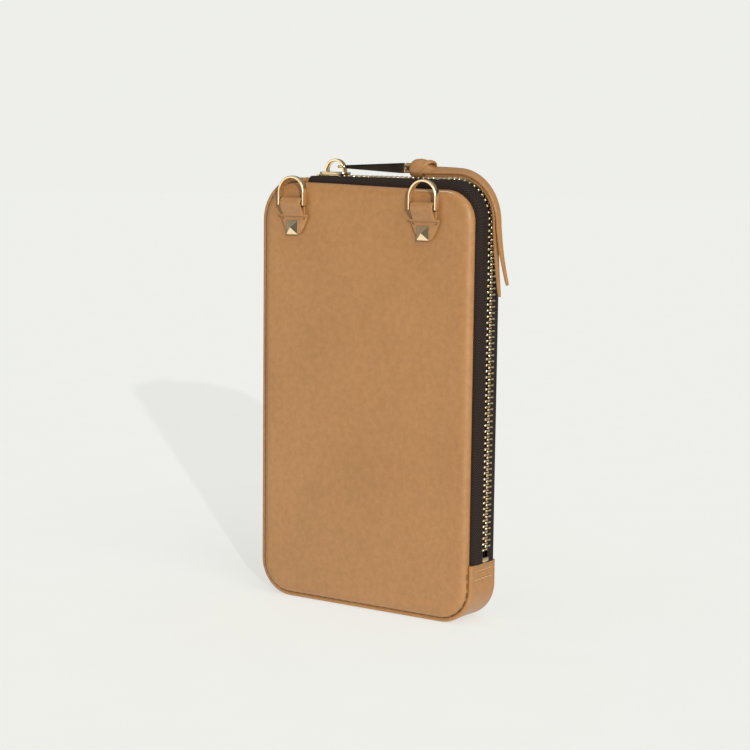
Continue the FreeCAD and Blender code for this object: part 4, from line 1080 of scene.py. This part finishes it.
def thread(name, dark, light):
    """A twisted thread: a slanted stripe along its own flat map."""
    material, tree, shader = finish(name)
    uv = add(tree, "ShaderNodeUVMap", uv_map="flat").outputs["UV"]
    split = add(tree, "ShaderNodeSeparateXYZ", {"Vector": uv})
    along = math_node(tree, "MULTIPLY", split.outputs["X"], 9000.0)
    round_it = math_node(tree, "MULTIPLY", split.outputs["Y"], 1000.0)
    slant = math_node(tree, "ADD", along, round_it)
    twist = math_node(tree, "ADD", math_node(tree, "MULTIPLY", math_node(tree, "SINE", slant), 0.5), 0.5)
    tree.links.new(ramp(tree, twist, [(0.1, dark), (0.9, light)]), shader.inputs["Base Color"])
    bumped(tree, shader, twist, 0.00008, 0.7)
    shader.inputs["Roughness"].default_value = 0.7
    return material


def porous(name, dark, light, size, rough):
    """Foam or pressed board: random cells give the colour and the height."""
    material, tree, shader = finish(name)
    place = add(tree, "ShaderNodeTexCoord").outputs["Object"]
    cells = add(tree, "ShaderNodeTexVoronoi", {"Vector": place, "Scale": 1 / size}).outputs["Distance"]
    tree.links.new(ramp(tree, cells, [(0.1, dark), (0.7, light)]), shader.inputs["Base Color"])
    bumped(tree, shader, cells, size / 3, 0.6)
    shader.inputs["Roughness"].default_value = rough
    return material


GOLD = metal("pale gold plate", (0.80, 0.62, 0.36), (0.92, 0.76, 0.50), 0.12, 0.26)
# The wedge's colour is partly its own dark plate and partly painted dark reflection: pushed to near black so
# the flat face shows no window.
DARK_PLATE_AND_PAINTED_DARK_REFLECTION = metal("dark polished plate with painted dark reflection", (0.016, 0.012, 0.009), (0.030, 0.022, 0.016), 0.12, 0.24)
SEAM_THREAD = thread("brown seam thread", (0.085, 0.038, 0.012), (0.16, 0.075, 0.028))
TAN_THREAD = thread("tan thread", (0.40, 0.24, 0.12), (0.58, 0.38, 0.2))
FOAM = porous("foam", (0.5, 0.48, 0.42), (0.72, 0.7, 0.62), 0.0009, 0.95)
BOARD = porous("pressed board", (0.24, 0.22, 0.2), (0.4, 0.37, 0.33), 0.0006, 0.9)


# %% [markdown]
# Last, every piece gets what it is made of, the solids it stands for are hidden, and it is set on the
# moving body it rides on. The gusset, the front tape, the front teeth and the stitches at the zip's ends
# cross the opening, so they ride on neither half and stay where they are built.
# %% Assign
def put(made, material, nodes=(), body=None):
    """Give a piece its material and slot, hide the solids it stands for, and set what it rides on."""
    made.data.materials.clear()
    made.data.materials.append(material)
    if nodes:
        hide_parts(*nodes)
    if body:
        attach(made, body)


put(front_panel, TAN, ["front_cover"], "front_half")
put(rear_panel, TAN, ["rear_cover"], "rear_half")
put(gusset_leather, TAN, ["gusset"])
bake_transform(gusset_leather)
put(tape_front, TAPE, ["zip_tape_front"])
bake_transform(tape_front)
put(tape_rear, TAPE, ["zip_tape_rear"], "rear_half")
put(teeth_front, GOLD, ["zip_teeth_front"])
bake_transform(teeth_front)
put(teeth_rear, GOLD, ["zip_teeth_rear"], "rear_half")
put(top_stop_front, GOLD, ["zip_top_stop_front"], "rear_half")
put(top_stop_rear, GOLD, ["zip_top_stop_rear"], "rear_half")
put(bottom_stop, GOLD, ["zip_bottom_stop"], "rear_half")
put(slider_metal, GOLD, ["slider_body"], "slider")
put(bridge_arch, GOLD, ["slider_bridge"], "slider")
put(puller_wedge, DARK_PLATE_AND_PAINTED_DARK_REFLECTION, ["puller_bar"], "puller")
put(puller_eye, GOLD, (), "puller")
put(puller_fork, GOLD, (), "puller")
put(pull_loop, STRAP, ["pull_loop"], "leather_pull")
put(pull_knot, STRAP, ["pull_knot"], "leather_pull")
put(tail_inner, STRAP, ["pull_tail_inner"], "leather_pull")
put(tail_outer, STRAP, ["pull_tail_outer"], "leather_pull")
put(ring_left, GOLD, ["strap_ring_left"], "ring_left")
put(ring_right, GOLD, ["strap_ring_right"], "ring_right")
put(tab_left, STRAP, ["ring_tab_left"], "front_half")
put(tab_right, STRAP, ["ring_tab_right"], "front_half")
put(studs, GOLD, ["pyramid_studs"], "front_half")
put(tab_seam, TAN_THREAD, (), "front_half")
put(lip_seam, SEAM_THREAD, (), "front_half")
put(front_seam, SEAM_THREAD, (), "front_half")
put(rear_seam, SEAM_THREAD, (), "rear_half")
put(foot_seam, TAN_THREAD)
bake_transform(foot_seam)
put(lining_front, LINING, ["front_lining"], "front_half")
put(lining_rear, LINING, ["rear_lining"], "rear_half")
for number, card in enumerate(cards, start=1):
    put(card, INSIDE, [f"card_slot_{number}"], "front_half")
put(pocket, INSIDE, ["phone_pocket"], "rear_half")
put(binding, TAN, ["pocket_binding"], "rear_half")
hidden = {"front_padding": FOAM, "rear_padding": FOAM, "stud_caps": GOLD}
hidden |= {"front_stiffener": BOARD, "rear_stiffener": BOARD}
for node, material in hidden.items():
    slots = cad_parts[node].material_slots
    for number in range(len(slots)):
        slots[number].material = material


# %% [markdown]
# The stage is a plain pale floor in front of a backdrop of the same tone. Most of the floor's tone is
# its own soft glow, so the shadow of the low lamp stays faint, and the backdrop is seen by the camera
# only, so it lights nothing.
# %% Stage
PAPER = (0.855, 0.863, 0.823)


def glowing(name, colour, own, glow):
    """Pale paper that reflects a share of the light and glows with the rest."""
    material, tree, shader = finish(name)
    place = add(tree, "ShaderNodeTexCoord").outputs["Object"]
    dark, light = ([c * own * k for c in colour] for k in (0.99, 1.01))
    tone = ramp(tree, noise(tree, place, 30.0, 2.0), [(0.3, dark), (0.7, light)])
    tree.links.new(tone, shader.inputs["Base Color"])
    shader.inputs["Roughness"].default_value = 1.0
    shader.inputs["Specular IOR Level"].default_value = 0.0
    shader.inputs["Emission Color"].default_value = (*colour, 1)
    shader.inputs["Emission Strength"].default_value = glow
    return material


def disc(name, radii, heights):
    """Rings about the upright axis, one for each radius and height."""
    angle = np.linspace(0, 2 * math.pi, 97)
    grid = np.empty((len(radii), 97, 3))
    grid[..., 0] = np.asarray(radii)[:, None] * np.cos(angle)
    grid[..., 1] = np.asarray(radii)[:, None] * np.sin(angle)
    grid[..., 2] = np.asarray(heights, float)[:, None]
    return piece(name, [surface(grid / MM)])


paper_floor = disc("floor", [0.0, 0.5, 2.0, 6.0], [0.0, 0.0, 0.0, 0.0])
paper_floor.data.materials.append(glowing("pale paper", PAPER, 0.42, 0.672))
DOME = 5.9
dome_turn = np.linspace(0, math.pi / 2, 25)
backdrop = disc("backdrop", DOME * np.cos(dome_turn), DOME * np.sin(dome_turn))
backdrop.data.materials.append(glowing("backdrop paper", PAPER, 0.0, 1.0))
paper_floor.visible_glossy = False
for flag in ("diffuse", "glossy", "transmission", "volume_scatter", "shadow"):
    setattr(backdrop, f"visible_{flag}", False)


# %% [markdown]
# One low sun from the front right models the leather and throws the long faint shadow. A second, very
# wide one higher up is a soft box far away, which gives the sheen. The sky is a studio for the metal to
# mirror: pale below and overhead, one bright window in front, and dark where the room opens beside it.
# %% Lamps and sky
def sun(name, azimuth, elevation, strength, width):
    """A far lamp that lights the whole stage alike; width is its size across the sky in degrees."""
    data = bpy.data.lights.new(name, "SUN")
    data.energy = strength
    data.angle = math.radians(width)
    made = bpy.data.objects.new(name, data)
    bpy.context.scene.collection.objects.link(made)
    made.rotation_euler = look_from(azimuth, elevation, 1.0, (0, 0, 0))[1].to_euler()


sun("low sun", 46, 14, 2.2, 0.7)
sun("soft box", 64, 40, 0.75, 34)
world = bpy.data.worlds.new("studio")
world.use_nodes = True
sky = world.node_tree
around = add(sky, "ShaderNodeTexCoord").outputs["Generated"]
ways = add(sky, "ShaderNodeSeparateXYZ", {"Vector": around}).outputs
raised = math_node(sky, "ADD", math_node(sky, "MULTIPLY", ways["Z"], 0.5), 0.5)
shades = [(0.20, 1.1), (0.38, 0.45), (0.50, 0.30), (0.80, 0.20), (0.90, 0.55), (0.98, 0.9)]
tone = ramp(sky, raised, [(at, (grey, grey, grey * 0.98)) for at, grey in shades])
off_level = math_node(sky, "MULTIPLY", math_node(sky, "ABSOLUTE", ways["Z"]), 2.5)
level_band = math_node(sky, "SUBTRACT", 1.0, math_node(sky, "MINIMUM", off_level, 1.0))
forward = math_node(sky, "SUBTRACT", math_node(sky, "MULTIPLY", ways["Y"], -2.2), 1.2)
behind_viewer = math_node(sky, "MAXIMUM", forward, 0.0)
window_way = {0: around, 1: (-0.55, -0.82, -0.12)}
window = add(sky, "ShaderNodeVectorMath", window_way, operation="DOT_PRODUCT").outputs["Value"]
window = math_node(sky, "MAXIMUM", math_node(sky, "SUBTRACT", window, 0.9), 0.0)
window = math_node(sky, "MULTIPLY", window, 42.0)
gain = math_node(sky, "SUBTRACT", window, math_node(sky, "MULTIPLY", level_band, behind_viewer))
gain = math_node(sky, "MAXIMUM", math_node(sky, "ADD", gain, 1.0), 0.06)
sky.links.new(tone, sky.nodes["Background"].inputs["Color"])
sky.links.new(gain, sky.nodes["Background"].inputs["Strength"])
bpy.context.scene.world = world
bpy.context.scene.view_settings.view_transform = "Standard"
